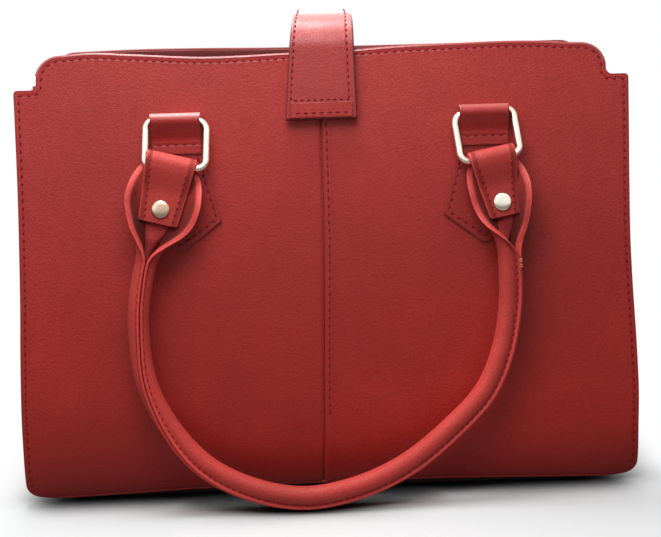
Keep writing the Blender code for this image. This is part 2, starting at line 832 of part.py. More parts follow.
def make_handle(name, parent, names):
    """The band: flap, turn round the bar, open trough, closed tube, and the same again."""
    points = []
    for place, across, facing, numbers in handle_stations():
        for u, v in band_section(*numbers):
            points.append(to_handle(place + across * u + facing * v))
    n = len(band_section(*BAND[0][1:]))
    rows = len(points) // n
    faces = [
        (r * n + c, r * n + (c + 1) % n, (r + 1) * n + (c + 1) % n, (r + 1) * n + c)
        for r in range(rows - 1)
        for c in range(n)
    ]
    half = n // 2
    for first in (0, (rows - 1) * n):
        faces += [
            (first + i, first + i + 1, first + n - 2 - i, first + n - 1 - i)
            for i in range(half - 1)
        ]
    cover = mesh_object(f"{name}_cover", points, faces, leather(f"{name}_cover", 1.05), parent)
    face_out(cover)
    shade_round(cover)

    line, along, _ = handle_frames()
    curve = bpy.data.curves.new(f"{name}_core", "CURVE")
    curve.dimensions = "3D"
    curve.bevel_depth = TUBE_RADIUS - HANDLE_LEATHER / 2 - CORE_CLEARANCE
    curve.bevel_resolution = 2
    curve.use_fill_caps = True
    spline = curve.splines.new("POLY")
    stops = tube_stops(along[-1])
    stops[0] += CORE_END_GAP
    stops[-1] -= CORE_END_GAP
    spline.points.add(len(stops) - 1)
    for point, s in zip(spline.points, stops):
        place = [np.interp(s, along, line[:, i]) for i in (0, 1)]
        point.co = (*to_handle((place[0], TUBE_FORWARD, place[1])), 1)
    drawn = bpy.data.objects.new(f"{name}_core", curve)
    drawn.parent = parent
    CUTTERS.objects.link(drawn)
    core = as_mesh(drawn, BAG, material(f"{name}_core", (0.75, 0.70, 0.60), 0.9))
    shade_round(core)

    stack = HANDLE_LEATHER + PIECE_GAP / 2
    for label, x0, end in zip(names, (RING_LEFT_X, RING_RIGHT_X), (LEFT_END, RIGHT_END)):
        sign = -1 if x0 < 0 else 1
        out = np.interp(RIVET_DROP, [d for _, d in end], [o for o, _ in end])
        x = x0 + sign * float(out)
        place = (x, 0, -RIVET_DROP)
        hole = turned(
            f"{name}_hole_{label}",
            [
                (0, 0.008),
                (RIVET_POST_RADIUS + RIVET_HOLE_CLEARANCE, 0.008),
                (RIVET_POST_RADIUS + RIVET_HOLE_CLEARANCE, -0.008),
                (0, -0.008),
            ],
            16,
            material(f"{name}_hole_{label}", (0.5, 0.5, 0.5), 0.5),
            parent,
        )
        BAG.objects.unlink(hole)
        CUTTERS.objects.link(hole)
        hole.display_type = "WIRE"
        hole.location = place
        hole.rotation_euler = (math.pi / 2, 0, 0)
        boolean(cover, hole, "DIFFERENCE")
        under = stack + 0.00015
        top = under + RIVET_CAP_HEIGHT
        profile = [(0, top)]
        for a in np.radians([30, 55, 75]):
            profile.append(
                (RIVET_CAP_RADIUS * math.sin(a), top - RIVET_CAP_HEIGHT * 0.75 * (1 - math.cos(a)))
            )
        profile += [
            (RIVET_CAP_RADIUS, top - RIVET_CAP_HEIGHT * 0.75),
            (RIVET_CAP_RADIUS, under),
            (RIVET_POST_RADIUS, under),
            (RIVET_POST_RADIUS, -under),
            (RIVET_TAIL_RADIUS, -under),
            (RIVET_TAIL_RADIUS, -under - RIVET_TAIL_HEIGHT * 0.6),
            (RIVET_TAIL_RADIUS * 0.8, -under - RIVET_TAIL_HEIGHT),
            (0, -under - RIVET_TAIL_HEIGHT),
        ]
        rivet = turned(
            f"{name}_rivet_{label}",
            profile,
            20,
            material(f"{name}_rivet_{label}", (0.83, 0.71, 0.50), 0.25, 1.0),
            parent,
        )
        rivet.location = place
        rivet.rotation_euler = (math.pi / 2, 0, 0)


def make_side_fittings(side, root):
    """Tabs, rings and handle of one side, all hung from the panel."""
    names = ("left", "right") if side == "front" else ("right", "left")
    fold_z = CROWN_HEIGHT - TAB_BELOW_CROWN * COS_LEAN
    fold_y = -panel_depth(fold_z)
    bar = TAB_LEATHER + TAB_BORE + PIECE_GAP / 2
    drop = RING_HEIGHT - RING_WIRE
    tilt = math.asin((BAR_STANDOFF - bar) / drop)
    for label, x in zip(names, (RING_LEFT_X, RING_RIGHT_X)):
        seat = empty(f"{side}_{label}_seat", root, (x, fold_y, fold_z), (-PANEL_LEAN, 0, 0))
        make_tab(f"{side}_tab_{label}", seat)
        pivot = empty(
            f"{side}_ring_{label}_pivot",
            seat,
            (0, -bar, -(TAB_LEATHER + TAB_BORE)),
            (-tilt, 0, 0),
        )
        make_ring(f"{side}_ring_{label}", pivot)
    down = np.array([0, -SIN_LEAN, -COS_LEAN])
    out = np.array([0, -COS_LEAN, SIN_LEAN])
    top_bar = np.array([0, fold_y, fold_z]) + down * (TAB_LEATHER + TAB_BORE) + out * bar
    angle = PANEL_LEAN + tilt
    low_bar = top_bar + drop * np.array([0, -math.sin(angle), -math.cos(angle)])
    pivot = empty(f"{side}_handle_pivot", root, tuple(low_bar), (-HANDLE_LEAN, 0, 0))
    fold = empty(f"{side}_handle_fold", pivot, (0, -HANDLE_FORWARD, 0), (0, 0, 0))
    make_handle(f"{side}_handle", fold, names)


def strap_lines():
    """Places (y, z) of the strap's hinges and the line of its arch in the outer leather."""
    near = PIECE_GAP + STRAP_LEATHER / 2
    back_out = np.array([COS_LEAN, SIN_LEAN])
    back_up = np.array([-SIN_LEAN, COS_LEAN])
    back = np.array([MOUTH_HALF_DEPTH, CROWN_HEIGHT]) + back_out * near
    magnets = 3 * MAGNET_SEAT + 0.0001 + 2 * MAGNET_THICKNESS
    off = magnets + STRAP_LINING + PIECE_GAP + STRAP_LEATHER / 2
    front_out = np.array([-COS_LEAN, SIN_LEAN])
    front_up = np.array([SIN_LEAN, COS_LEAN])
    front = np.array([-MOUTH_HALF_DEPTH, CROWN_HEIGHT]) + front_out * off
    pull = (STRAP_RISE - STRAP_LEATHER / 2) / (0.75 * COS_LEAN)
    arch = bezier(back, back + back_up * pull, front + front_up * pull, front, 17)
    return back, back_up, front, front_out, front_up, arch, off


def make_strap():
    back, back_up, front, front_out, front_up, arch, off = strap_lines()
    clear = STRAP_LEATHER / 2 + STRAP_HINGE_GAP

    ends = [back - back_up * STRAP_ANCHOR_LENGTH, back - back_up * clear]
    strip(
        "strap_anchor",
        ends,
        [STRAP_BACK_HALF_WIDTH, STRAP_BACK_HALF_WIDTH],
        STRAP_LEATHER,
        leather("strap_anchor"),
    )

    hinge = empty("strap_hinge", None, (0, *back))
    along = np.concatenate([[0], np.cumsum(np.linalg.norm(np.diff(arch, axis=0), axis=1))])
    length = along[-1]

    def arch_part(name, start, end, inset, thickness, shade):
        stops = np.linspace(start, length - end, 15)
        line = np.stack([np.interp(stops, along, arch[:, i]) for i in (0, 1)], axis=1)
        line = moved_sideways(line, inset)
        widths = np.interp(
            stops, [0, length], [STRAP_BACK_HALF_WIDTH, STRAP_BEND_HALF_WIDTH]
        )
        made = strip(name, line - back, widths, thickness, leather(name, shade), hinge)
        shade_round(made)

    arch_part("strap_outer", 0.0, clear, 0.0, STRAP_LEATHER, 1.0)
    below = STRAP_LEATHER / 2 + PIECE_GAP + STRAP_LINING / 2
    arch_part("strap_lining", 0.003, 0.003, below, STRAP_LINING, 0.85)

    bend = empty("strap_bend", None, (0, *front))

    def tongue_part(name, start, end, toward_bag, thickness, shade, inset=0.0):
        places = np.array([start, (start + end) / 2, end])
        line = -front_up * places[:, None] - front_out * toward_bag
        widths = np.interp(places, [0, STRAP_DROP], [STRAP_BEND_HALF_WIDTH, STRAP_TIP_HALF_WIDTH])
        strip(name, line, widths - inset, thickness, leather(name, shade), bend)

    tongue_part("strap_tongue_outer", 0.0, STRAP_DROP, 0.0, STRAP_LEATHER, 1.0)
    tongue_part("strap_tongue_lining", 0.003, STRAP_DROP - 0.001, below, STRAP_LINING, 0.85)
    above = -(STRAP_LEATHER / 2 + PIECE_GAP + END_BAND_LEATHER / 2)
    start = STRAP_DROP - END_BAND_LENGTH
    band = (above, END_BAND_LEATHER, 1.1, END_BAND_INSET)
    tongue_part("strap_end_band", start, STRAP_DROP - 0.0006, *band)

    metal = (0.80, 0.79, 0.76)
    reach = MAGNET_SEAT + STRAP_LINING + PIECE_GAP + STRAP_LEATHER / 2 + MAGNET_THICKNESS / 2
    centre = -front_up * MAGNET_BELOW_CROWN - front_out * reach
    moving = disc(
        "strap_magnet", MAGNET_RADIUS, MAGNET_THICKNESS, material("strap_magnet", metal, 0.3, 1.0),
        bend, (0, *centre),
    )
    moving.rotation_euler = (math.pi / 2 - PANEL_LEAN, 0, 0)
    on_panel = front - front_up * MAGNET_BELOW_CROWN
    on_panel = on_panel - front_out * (off - MAGNET_SEAT - MAGNET_THICKNESS / 2)
    fixed = disc(
        "panel_magnet", MAGNET_RADIUS, MAGNET_THICKNESS, material("panel_magnet", metal, 0.3, 1.0),
        None, (0, *on_panel),
    )
    fixed.rotation_euler = (math.pi / 2 - PANEL_LEAN, 0, 0)


clear_scene()
BAG = collection("tote_bag")
CUTTERS = collection("tote_bag_cutters", helper=True)

front_root = empty("front_side")
back_root = empty("back_side", rotation=(0, 0, math.pi))
for side_name, side_root in (("front", front_root), ("back", back_root)):
    make_panels(side_name, side_root)
    make_side_fittings(side_name, side_root)
make_gusset("left", -1)
make_gusset("right", 1)
make_base()
make_lining()
make_strap()
bpy.context.view_layer.update()
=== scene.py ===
"""Red leather tote bag: what is seen of it, with its stage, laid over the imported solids.

Metres. The origin is on the floor under the middle of the bag, +X to the right of someone who
faces the front, +Y away from them, +Z up. The back is the front turned half a turn about Z.
"""

import math

import bmesh
import bpy
import numpy as np
from mathutils import Matrix, Vector


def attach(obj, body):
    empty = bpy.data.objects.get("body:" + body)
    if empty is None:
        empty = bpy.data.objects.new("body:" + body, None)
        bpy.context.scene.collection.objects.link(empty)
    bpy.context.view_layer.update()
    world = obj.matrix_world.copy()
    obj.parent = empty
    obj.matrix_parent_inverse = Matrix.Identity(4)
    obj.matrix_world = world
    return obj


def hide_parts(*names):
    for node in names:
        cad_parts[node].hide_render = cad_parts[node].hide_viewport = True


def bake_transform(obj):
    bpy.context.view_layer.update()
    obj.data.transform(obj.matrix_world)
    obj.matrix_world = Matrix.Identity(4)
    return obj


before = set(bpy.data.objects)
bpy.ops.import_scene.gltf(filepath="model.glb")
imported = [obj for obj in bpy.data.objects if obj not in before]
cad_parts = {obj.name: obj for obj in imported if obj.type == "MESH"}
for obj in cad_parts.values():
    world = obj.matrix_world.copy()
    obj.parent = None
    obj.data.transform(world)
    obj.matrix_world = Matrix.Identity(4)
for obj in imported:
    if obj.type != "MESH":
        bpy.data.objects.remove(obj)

bl_info = {
    "name": "Leather tote bag",
    "version": (1, 0, 0),
    "blender": (4, 5, 0),
    "location": "View3D > Sidebar > Tote bag",
    "description": "Builds the leather, hardware, thread and stage of a tote bag",
    "category": "Add Mesh",
}

SIDES = ("front", "back")
# Both places on a side, and which way each lies from its middle
LABELS = {"left": -1, "right": 1}

# Panels, as in the solids
HALF_WIDTH = 0.190
CROWN_HEIGHT = 0.278
LEDGE_HEIGHT = 0.258
LEDGE_WIDTH = 0.014
CROWN_CORNER = 0.015
LEDGE_FILLET = 0.004
LEDGE_CORNER = 0.0025
BOTTOM_CORNER = 0.010
BOTTOM_ARCH = 0.003
PANEL_BOTTOM = 0.0050
MOUTH_HALF_DEPTH = 0.030
BOTTOM_HALF_DEPTH = 0.0575
PANEL_LEAN = math.radians(8.5)
BELLY_HEIGHT = 0.065
LEATHER = 0.0020
PIECE_GAP = 0.0003
COS_LEAN = math.cos(PANEL_LEAN)
SIN_LEAN = math.sin(PANEL_LEAN)
UP_FRONT = np.array([0, SIN_LEAN, COS_LEAN])
OUT_FRONT = np.array([0, -COS_LEAN, SIN_LEAN])
TOWARD_FRONT = np.array([0, -1, 0.1])
# The face line's foot below the panel, and how hard the foot and the belly pull on its curve
FOOT_BELOW = 0.0015
FOOT_PULL = 0.0145 * np.array([-0.55, 0.835])
BELLY_PULL = 0.024
# Turned top edge, and the lines of stitches inside the edges and beside the centre seam
RIM_RADIUS = 0.00122
RIM_INSET = 0.0006
STITCH_INSET = 0.0030
SEAM_ROW_ASIDE = 0.0031
# The centre seam's dip, and the ridge beside it where the leather is folded under
SEAM_HALF_WIDTH = 0.0013
RIDGE_HEIGHT = 0.0004
RIDGE_ASIDE = 0.0036
RIDGE_HALF_WIDTH = 0.0020
FOOT_SAG = 0.0014
# How far the seam's lean reaches aside, and where that of the sides starts
SEAM_LEAN_END = 0.085
SIDE_LEAN_START = 0.090
MAGNET_HEIGHT = 0.248
MAGNET_REACH = 0.022

# Gussets, base, facings and lining
SEAM_FLANGE = 0.008
GUSSET_PUFF = 0.0012
LINING_WAVE = 0.0014
GUSSET_LEATHER = 0.0016
GUSSET_FOLD = 0.042
GUSSET_FOLD_START = 0.050
BASE_RIM_HEIGHT = 0.014
BOARD_THICKNESS = 0.0025
PIPING_RADIUS = 0.0010
FACING_LEATHER = 0.0012
FACING_DEPTH = 0.035
FACING_HALF_WIDTH = 0.172
LINING_CLOTH = 0.0008
LINING_OVERLAP = 0.008

# Rings and their tabs
RING_WIRE = 0.0043
RING_WIDTH = 0.0415
RING_HEIGHT = 0.0335
RING_CORNER = 0.0075
RING_DROP = RING_HEIGHT - RING_WIRE
RING_X = {"left": -0.0915, "right": 0.0985}
TAB_LEATHER = 0.0016
TAB_WIDTH = 0.0306
TAB_BELOW_CROWN = 0.037
TAB_FRONT_LENGTH = 0.025
TAB_BORE = 0.0031
PATCH_WIDTH = 0.052
PATCH_SHOULDER = 0.067
PATCH_LENGTH = 0.085
PATCH_TIP_HALF_WIDTH = 0.0022
PATCH_POINT_SLOPE = math.radians(53)
# Distances down a tab over which its fold is rubbed smooth and has a painted highlight
TAB_HIGHLIGHT_SPAN = (0.0005, 0.0035)
BAR_STANDOFF = 0.0092
FOLD_Z = CROWN_HEIGHT - TAB_BELOW_CROWN * COS_LEAN
FOLD_Y = -(MOUTH_HALF_DEPTH + (CROWN_HEIGHT - FOLD_Z) * math.tan(PANEL_LEAN))
# The ring's upper bar in its tab and its lower bar, which the handle goes round
BAR_OUT = TAB_LEATHER + TAB_BORE + PIECE_GAP / 2
BAR_Y = FOLD_Y - (TAB_LEATHER + TAB_BORE) * SIN_LEAN - BAR_OUT * COS_LEAN
BAR_Z = FOLD_Z - (TAB_LEATHER + TAB_BORE) * COS_LEAN + BAR_OUT * SIN_LEAN
RING_LEAN = PANEL_LEAN + math.asin((BAR_STANDOFF - BAR_OUT) / RING_DROP)
LOW_BAR_Y = BAR_Y - RING_DROP * math.sin(RING_LEAN)
LOW_BAR_Z = BAR_Z - RING_DROP * math.cos(RING_LEAN)

# Handles and rivets
HANDLE_LEAN = math.radians(9.2)
HANDLE_DROP = 0.2041
HANDLE_LEATHER = 0.0022
HANDLE_EDGE = 0.0016
HANDLE_THIN_EDGE = 0.0011
HANDLE_ROW_PITCH = 0.0042
FLAP_ROW_INSET = 0.0027
# Distances from the bar: where the fin's stitches start, where the tacks lie, where the trough's
# floor moves out to the tube's place, and where the padding shows
FIN_START = 0.052
TACKS_AT = (0.0545, 0.0592)
TACK_HALF = 0.0026
TACK_PITCH = 0.0062
TUBE_AT = (0.0325, 0.0625)
PADDING_AT = (0.026, 0.0590)
HANDLE_BORE = 0.00415
HANDLE_FORWARD = 0.0016
FORWARD = np.array([0, 1.0, 0])
TUBE_RADIUS = 0.00495
TUBE_FORWARD = 0.0030
FLAP_LENGTH = 0.0367
RIVET_DROP = 0.0278
RIVET_CAP_RADIUS = 0.0055
RIVET_CAP_HEIGHT = 0.0018
RIVET_CAP_RIM = 0.0005
RIVET_PIN_RADIUS = 0.0017
RIVET_BACK_RADIUS = 0.0045
EDGE_TURN = 0.0027
EDGE_POINTS = 7
# How much longer than in its table the right end's distances from the bar are
RIGHT_STRETCH = 1.16
# Distances from the bar over which a fold's width, slope and lift go over into the band's own
WIDTH_BLEND = (0.0, 0.006)
SLOPE_BLEND = (0.0, 0.016)
LIFT_BLEND = (0.002, 0.034)
# From which part of its half width the band is pared thinner and over how much of it, and how
# thick its edge then is at sweeps of its sides
PARED_FROM = 0.68
PARED_OVER = 0.18
PARED_EDGE = ((0.02, HANDLE_LEATHER), (0.4, HANDLE_THIN_EDGE), (1.6, HANDLE_THIN_EDGE),
              (2.6, HANDLE_EDGE))
# Parts of the half width between which the inner side's darkness ends, distances from the bar
# over which painted shade deepens it, and how much painted shade the leather round the troughs
# has and how far
FLESH_ENDS = (0.74, 0.84)
TROUGH_SHADE_GROWS = (0.012, 0.042)
TROUGH_SHADE = 0.18
TROUGH_SHADE_ENDS = (0.036, 0.058)
# Half the padding's width where it is widest and where it goes into the tube, and the distances
# over which it widens, narrows and rises
PADDING_HALF = {"left": 0.0066, "right": 0.0046}
PADDING_TIP_HALF = 0.0024
PADDING_WIDENS = (0.012, 0.034)
PADDING_NARROWS = (0.036, 0.056)
PADDING_RISES = (0.0375, 0.0465)

# Closing strap
STRAP_LEATHER = 0.0016
STRAP_LINING = 0.0012
STRAP_RISE = 0.0230
STRAP_BACK_HALF_WIDTH = 0.0165
STRAP_ARCH_HALF_WIDTH = 0.0173
STRAP_BEND_HALF_WIDTH = 0.0195
STRAP_TIP_HALF_WIDTH = 0.0216
STRAP_DROP = 0.0432
STRAP_ANCHOR_LENGTH = 0.055
END_BAND_LENGTH = 0.010
END_BAND_LEATHER = 0.0010
END_BAND_INSET = 0.0022
MAGNET_STACK = 0.0031
# How far aside the strap stands at its back bend, its top, its front bend and its tip
STRAP_ASIDE = (0.0010, 0.0019, -0.0003, -0.0018)
# Where its back and front pieces meet, and between which places it is rubbed smooth and has a
# painted highlight, as parts of the way from bend to bend
STRAP_SPLIT = 0.34
STRAP_HIGHLIGHT_SPAN = (0.46, 0.62, 0.66, 0.90)
STRAP_COLUMNS = 37
STRAP_ROW_PITCH = 0.0041
STRAP_END_ROW_PITCH = 0.0052
# How far inside the strap's left and right edge its stitches run
STRAP_ROW_INSET = (0.0022, 0.0040)

# How far outward each end of a handle has moved at a distance below the ring's lower bar.
LEFT_END = ((0.0032, 0.0), (0.0042, 0.004), (0.0066, 0.0135), (0.0100, 0.027), (0.0150, 0.0405),
            (0.0195, 0.0545), (0.0230, 0.0685), (0.0258, 0.0855))
RIGHT_END = ((0.0036, 0.0), (0.0044, 0.004), (0.0062, 0.0135), (0.0088, 0.027), (0.0107, 0.0405),
             (0.0112, 0.0545), (0.0114, 0.0685))
# How far the loose fold of each end has been pushed up over its bar, and half the width of the
# fold and of the flap's end.
END_LIFT = {"left": 0.0019, "right": 0.0}
FOLD_HALF = {"left": 0.0142, "right": 0.0132}
FLAP_HALF = {"left": 0.0112, "right": 0.0085}
# How much of the band's width is flat there
FLAT_PART = 0.60
# The band's turn about its line in degrees, at parts of its length from the left bar and then
# at distances from the right one
TWIST_FROM_LEFT = ((0, 0), (0.045, 0), (0.12, -6), (0.18, -12), (0.25, 4), (0.36, 50), (0.50, 78),
                   (0.65, 72), (0.80, 62))
TWIST_FROM_RIGHT = ((0.0645, 55), (0.0545, 36), (0.0475, 15), (0.0415, 0), (0, 0))
# The hanging loop between the ends: across as a part of the ring spacing, down as a part of
# the handle's drop.
LOOP = ((-0.137, 0.523), (-0.120, 0.6375), (-0.052, 0.773), (0.070, 0.900), (0.216, 0.970),
        (0.380, 1.000), (0.525, 0.981), (0.692, 0.920), (0.853, 0.810), (0.975, 0.692),
        (1.032, 0.570), (1.055, 0.458))
# The handle's band at a distance from the bar, opened wider at its left end than at its right:
# half of its flat back, half of its whole width, how far each side curls round, and how far its
# edge turns back out.
BAND = {
    "left": np.array([
        (0.000, 0.0100, 0.0148, 0.02, 0.0),
        (0.003, 0.0110, 0.0177, 0.30, -0.25),
        (0.008, 0.0120, 0.0210, 0.80, -0.70),
        (0.015, 0.0120, 0.0244, 1.20, -1.08),
        (0.0225, 0.0115, 0.0268, 1.45, -1.30),
        (0.0305, 0.0100, 0.0263, 1.60, -1.45),
        (0.0365, 0.0075, 0.0245, 1.75, -1.57),
        (0.0425, 0.0045, 0.0221, 2.00, -1.65),
        (0.0485, 0.0022, 0.0192, 2.40, -1.65),
        (0.0545, 0.0010, 0.0181, 2.82, -1.47),
        (0.0595, 0.0005, 0.01825, 3.04, -1.50),
    ]),
    "right": np.array([
        (0.000, 0.0095, 0.0140, 0.02, 0.0),
        (0.003, 0.0105, 0.01584, 0.30, -0.25),
        (0.008, 0.0105, 0.0181, 0.80, -0.70),
        (0.015, 0.0098, 0.0204, 1.20, -1.08),
        (0.0225, 0.0085, 0.0212, 1.45, -1.30),
        (0.0305, 0.0061, 0.0204, 1.70, -1.55),
        (0.0365, 0.0041, 0.0192, 2.00, -1.75),
        (0.0425, 0.0022, 0.0187, 2.55, -2.05),
        (0.0485, 0.0010, 0.0182, 2.90, -1.80),
        (0.0545, 0.0005, 0.01825, 3.04, -1.50),
        (0.0595, 0.0005, 0.01825, 3.04, -1.50),
    ]),
}
# The soft body's lean: at heights, how far the centre seam and both sides of a panel stand to
# the left (-) and right (+) of a true panel.
LEAN = np.array([
    (0.004, -0.0074, -0.0050, 0.0040),
    (0.020, -0.0070, -0.0049, 0.0040),
    (0.035, -0.0062, -0.0046, 0.0036),
    (0.064, -0.0055, -0.0042, 0.0037),
    (0.095, -0.0045, -0.0033, 0.0027),
    (0.125, -0.0034, -0.0020, 0.0012),
    (0.155, -0.0024, -0.0011, 0.0002),
    (0.190, -0.0020, -0.0003, 0.0002),
    (0.230, -0.0020, 0.0, 0.0006),
    (0.262, -0.0020, 0.0, 0.0008),
    (0.280, -0.0020, 0.0, 0.0006),
])
# How far the front's and the back's top edge rise above a straight line, at places along them.
TOP_EDGE = np.array([
    (-0.180, 0.0), (-0.160, 0.0002), (-0.145, 0.0012), (-0.118, -0.0002), (-0.075, -0.0030),
    (-0.0195, -0.0020), (0.0175, -0.0012), (0.048, 0.0004), (0.079, 0.0011), (0.129, 0.0014),
    (0.161, -0.0004), (0.180, 0.0),
])
BACK_TOP_EDGE = np.array([
    (-0.180, 0.0), (-0.100, 0.0), (-0.030, 0.0), (0.035, 0.0004), (0.075, 0.0012),
    (0.125, 0.0016), (0.155, 0.0010), (0.180, 0.0),
])
# Marks that leather reads from a piece's points, with their values where a piece gives none:
# distance from the cut edge and from the stitching in metres, how much of the leather's dark
# inner side and of painted shade shows, and 1 where it is rubbed smooth and has a painted
# highlight.
PLAIN_MARKS = {"edge": 1.0, "stitch": 1.0, "flesh": 0.0, "worn": 0.0}
# The pale pink of the painted highlight on rubbed folds
HIGHLIGHT_PINK = (0.80, 0.50, 0.48, 1.0)


def smoothstep(x, low, high):
    """0 below low, 1 above high, and 3tt - 2ttt between."""
    t = np.clip((np.asarray(x, float) - low) / (high - low), 0, 1)
    return t * t * (3 - 2 * t)


def flow(x, stops, values):
    """A smooth curve through values at stops: cubic Hermite pieces whose slopes are the mean of
    both sides."""
    stops, values = np.asarray(stops, float), np.asarray(values, float)
    x = np.clip(np.asarray(x, float), stops[0], stops[-1])
    i = np.clip(np.searchsorted(stops, x, side="right") - 1, 0, len(stops) - 2)
    slope = np.gradient(values, stops, axis=0)
    h = stops[i + 1] - stops[i]
    t = (x - stops[i]) / h
    if values.ndim > 1:
        t, h = t[..., None], h[..., None]
    a, b = values[i], values[i + 1]
    return (a * (1 + 2 * t) * (1 - t) ** 2 + slope[i] * h * t * (1 - t) ** 2
            + b * t * t * (3 - 2 * t) + slope[i + 1] * h * t * t * (t - 1))


def along(line):
    """Distance of each point of a line from its first point."""
    return np.concatenate([[0], np.cumsum(np.linalg.norm(np.diff(line, axis=0), axis=1))])


def read_at(where, stops, rows):
    """Each column of rows, whose places are the stops, read at other places."""
    return np.stack([np.interp(where, stops, column) for column in rows.T], axis=1)


def at_fractions(line, fractions):
    """Points at fractions of a line's length."""
    line = np.asarray(line, float)
    s = along(line)
    return read_at(np.asarray(fractions) * s[-1], s, line)


def unit(vectors):
    """The same directions with a length of 1."""
    return vectors / np.linalg.norm(vectors, axis=-1, keepdims=True)


def bezier(a, b, c, d, count):
    """Points on the cubic Bezier curve with those four handles."""
    t = np.linspace(0, 1, count)[:, None]
    a, b, c, d = map(np.asarray, (a, b, c, d))
    return a * (1 - t) ** 3 + 3 * b * t * (1 - t) ** 2 + 3 * c * t**2 * (1 - t) + d * t**3


def softened(lines, times):
    """Corner cutting along the second last axis: each span gives its points at 1/4 and 3/4, and
    the line keeps its ends."""
    for _ in range(times):
        before, after = lines[..., :-1, :], lines[..., 1:, :]
        pairs = np.stack([0.75 * before + 0.25 * after, 0.25 * before + 0.75 * after], axis=-2)
        cut = pairs.reshape(*lines.shape[:-2], -1, lines.shape[-1])
        lines = np.concatenate([lines[..., :1, :], cut, lines[..., -1:, :]], axis=-2)
    return lines


def rounded(corners, steps=8, closed=False):
    """A line through corners (x, y, radius), each turned into an arc that touches both sides."""
    points = []
    count = len(corners)
    for i, (x, y, radius) in enumerate(corners):
        here = np.array([x, y])
        if radius <= 0 or (not closed and i in (0, count - 1)):
            points.append(here[None])
            continue
        before = unit(np.array(corners[i - 1][:2]) - here)
        after = unit(np.array(corners[(i + 1) % count][:2]) - here)
        half = math.acos(float(np.clip(before @ after, -1, 1))) / 2
        centre = here + unit(before + after) * radius / math.sin(half)
        start = here + before * radius / math.tan(half) - centre
        end = here + after * radius / math.tan(half) - centre
        turn = math.atan2(start[0] * end[1] - start[1] * end[0], start @ end)
        a = np.linspace(0, turn, steps + 1)[:, None]
        side = np.array([-start[1], start[0]])
        points.append(centre + start * np.cos(a) + side * np.sin(a))
    return np.vstack(points)


def distance_to(points, line):
    """Distance of each point (..., 2) from a line: the least over its spans of the distance to
    the nearest point of the span."""
    shape = points.shape[:-1]
    p = points.reshape(-1, 1, 2)
    a, b = line[None, :-1], line[None, 1:]
    run = b - a
    t = np.clip(((p - a) * run).sum(-1) / np.maximum((run * run).sum(-1), 1e-12), 0, 1)
    return np.linalg.norm(p - a - t[..., None] * run, axis=-1).min(axis=1).reshape(shape)


def grid_faces(rows, columns, wrap_rows=False, wrap_columns=False):
    """Four-sided faces of a grid of points numbered row by row. A wrapped side is closed."""
    r = np.arange(rows if wrap_rows else rows - 1)[:, None]
    c = np.arange(columns if wrap_columns else columns - 1)[None, :]
    r2, c2 = (r + 1) % rows, (c + 1) % columns
    corners = np.broadcast_arrays(r * columns + c, r * columns + c2, r2 * columns + c2,
                                  r2 * columns + c)
    return np.stack(corners, axis=-1).reshape(-1, 4)


def cap_faces(first, count):
    """Closes a ring of an even count of points with strips of four-sided faces."""
    i = np.arange(count // 2 - 1)
    return first + np.stack([i, i + 1, count - 2 - i, count - 1 - i], axis=1)


def pipe_faces(rows, columns):
    """Faces of a grid that is wrapped into a pipe, with both ends closed."""
    return np.vstack([grid_faces(rows, columns, False, True), cap_faces(0, columns),
                      cap_faces((rows - 1) * columns, columns)])


def half_turn(points, side):
    """The back is the front turned half a turn about Z."""
    return points * np.array([-1, -1, 1]) if side == "back" else points


def label_of(side, label):
    """Name of a place in the whole bag's left and right, from its own side's."""
    return {"left": "right", "right": "left"}[label] if side == "back" else label


def place_mesh(name, mesh, surface, marks=None):
    """An object for a mesh, with its finish and the marks of its points."""
    for key, plain in PLAIN_MARKS.items():
        values = marks[key] if marks and key in marks else np.full(len(mesh.vertices), plain)
        layer = mesh.attributes.new(key, "FLOAT", "POINT")
        layer.data.foreach_set("value", np.asarray(values, float).ravel())
    mesh.materials.append(surface)
    made = bpy.data.objects.new(name, mesh)
    bpy.context.scene.collection.objects.link(made)
    return made


def put(name, points, faces, surface, body=None, nodes=(), out=None, marks=None,
        closed=False):
    """A piece from whole arrays of points and four-sided faces, turned to face out where a
    direction is given or the piece is closed. It rides on its body and stands for those nodes
    of the solids."""
    points = np.asarray(points, float).reshape(-1, 3)
    faces = np.asarray(faces)
    if out is not None:
        a, b, c = (points[faces[:, i]] for i in range(3))
        if np.cross(b - a, c - a).sum(axis=0) @ np.asarray(out, float) < 0:
            faces = faces[:, ::-1]
    mesh = bpy.data.meshes.new(name)
    mesh.vertices.add(len(points))
    mesh.vertices.foreach_set("co", points.ravel())
    mesh.loops.add(faces.size)
    mesh.loops.foreach_set("vertex_index", np.ascontiguousarray(faces).ravel())
    mesh.polygons.add(len(faces))
    mesh.polygons.foreach_set("loop_start", np.arange(0, faces.size, 4))
    mesh.update(calc_edges=True)
    mesh.polygons.foreach_set("use_smooth", np.ones(len(faces), bool))
    made = place_mesh(name, mesh, surface, marks)
    if body:
        finish_piece(made, body, nodes)
    if closed:
        outward(mesh)
    return made


def finish_piece(made, body, nodes=()):
    """Tells the frame what carries a piece and hides the solids that it stands for."""
    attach(made, body)
    if nodes:
        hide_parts(*nodes)


def outward(mesh, join=False):
    """Turns a closed mesh's faces outward, after its doubled points and flat faces are joined
    where that is asked for."""
    work = bmesh.new()
    work.from_mesh(mesh)
    if join:
        bmesh.ops.remove_doubles(work, verts=work.verts, dist=1e-6)
        bmesh.ops.dissolve_limit(work, angle_limit=math.radians(1), verts=work.verts,
                                 edges=work.edges)
    bmesh.ops.recalc_face_normals(work, faces=work.faces)
    work.to_mesh(mesh)
    work.free()


def soften(made, width, angle):
    """Small rounded edges where faces meet at more than an angle in degrees."""
    soft = made.modifiers.new("edge", "BEVEL")
    soft.width = width
    soft.segments = 2
    soft.limit_method = "ANGLE"
    soft.angle_limit = math.radians(angle)


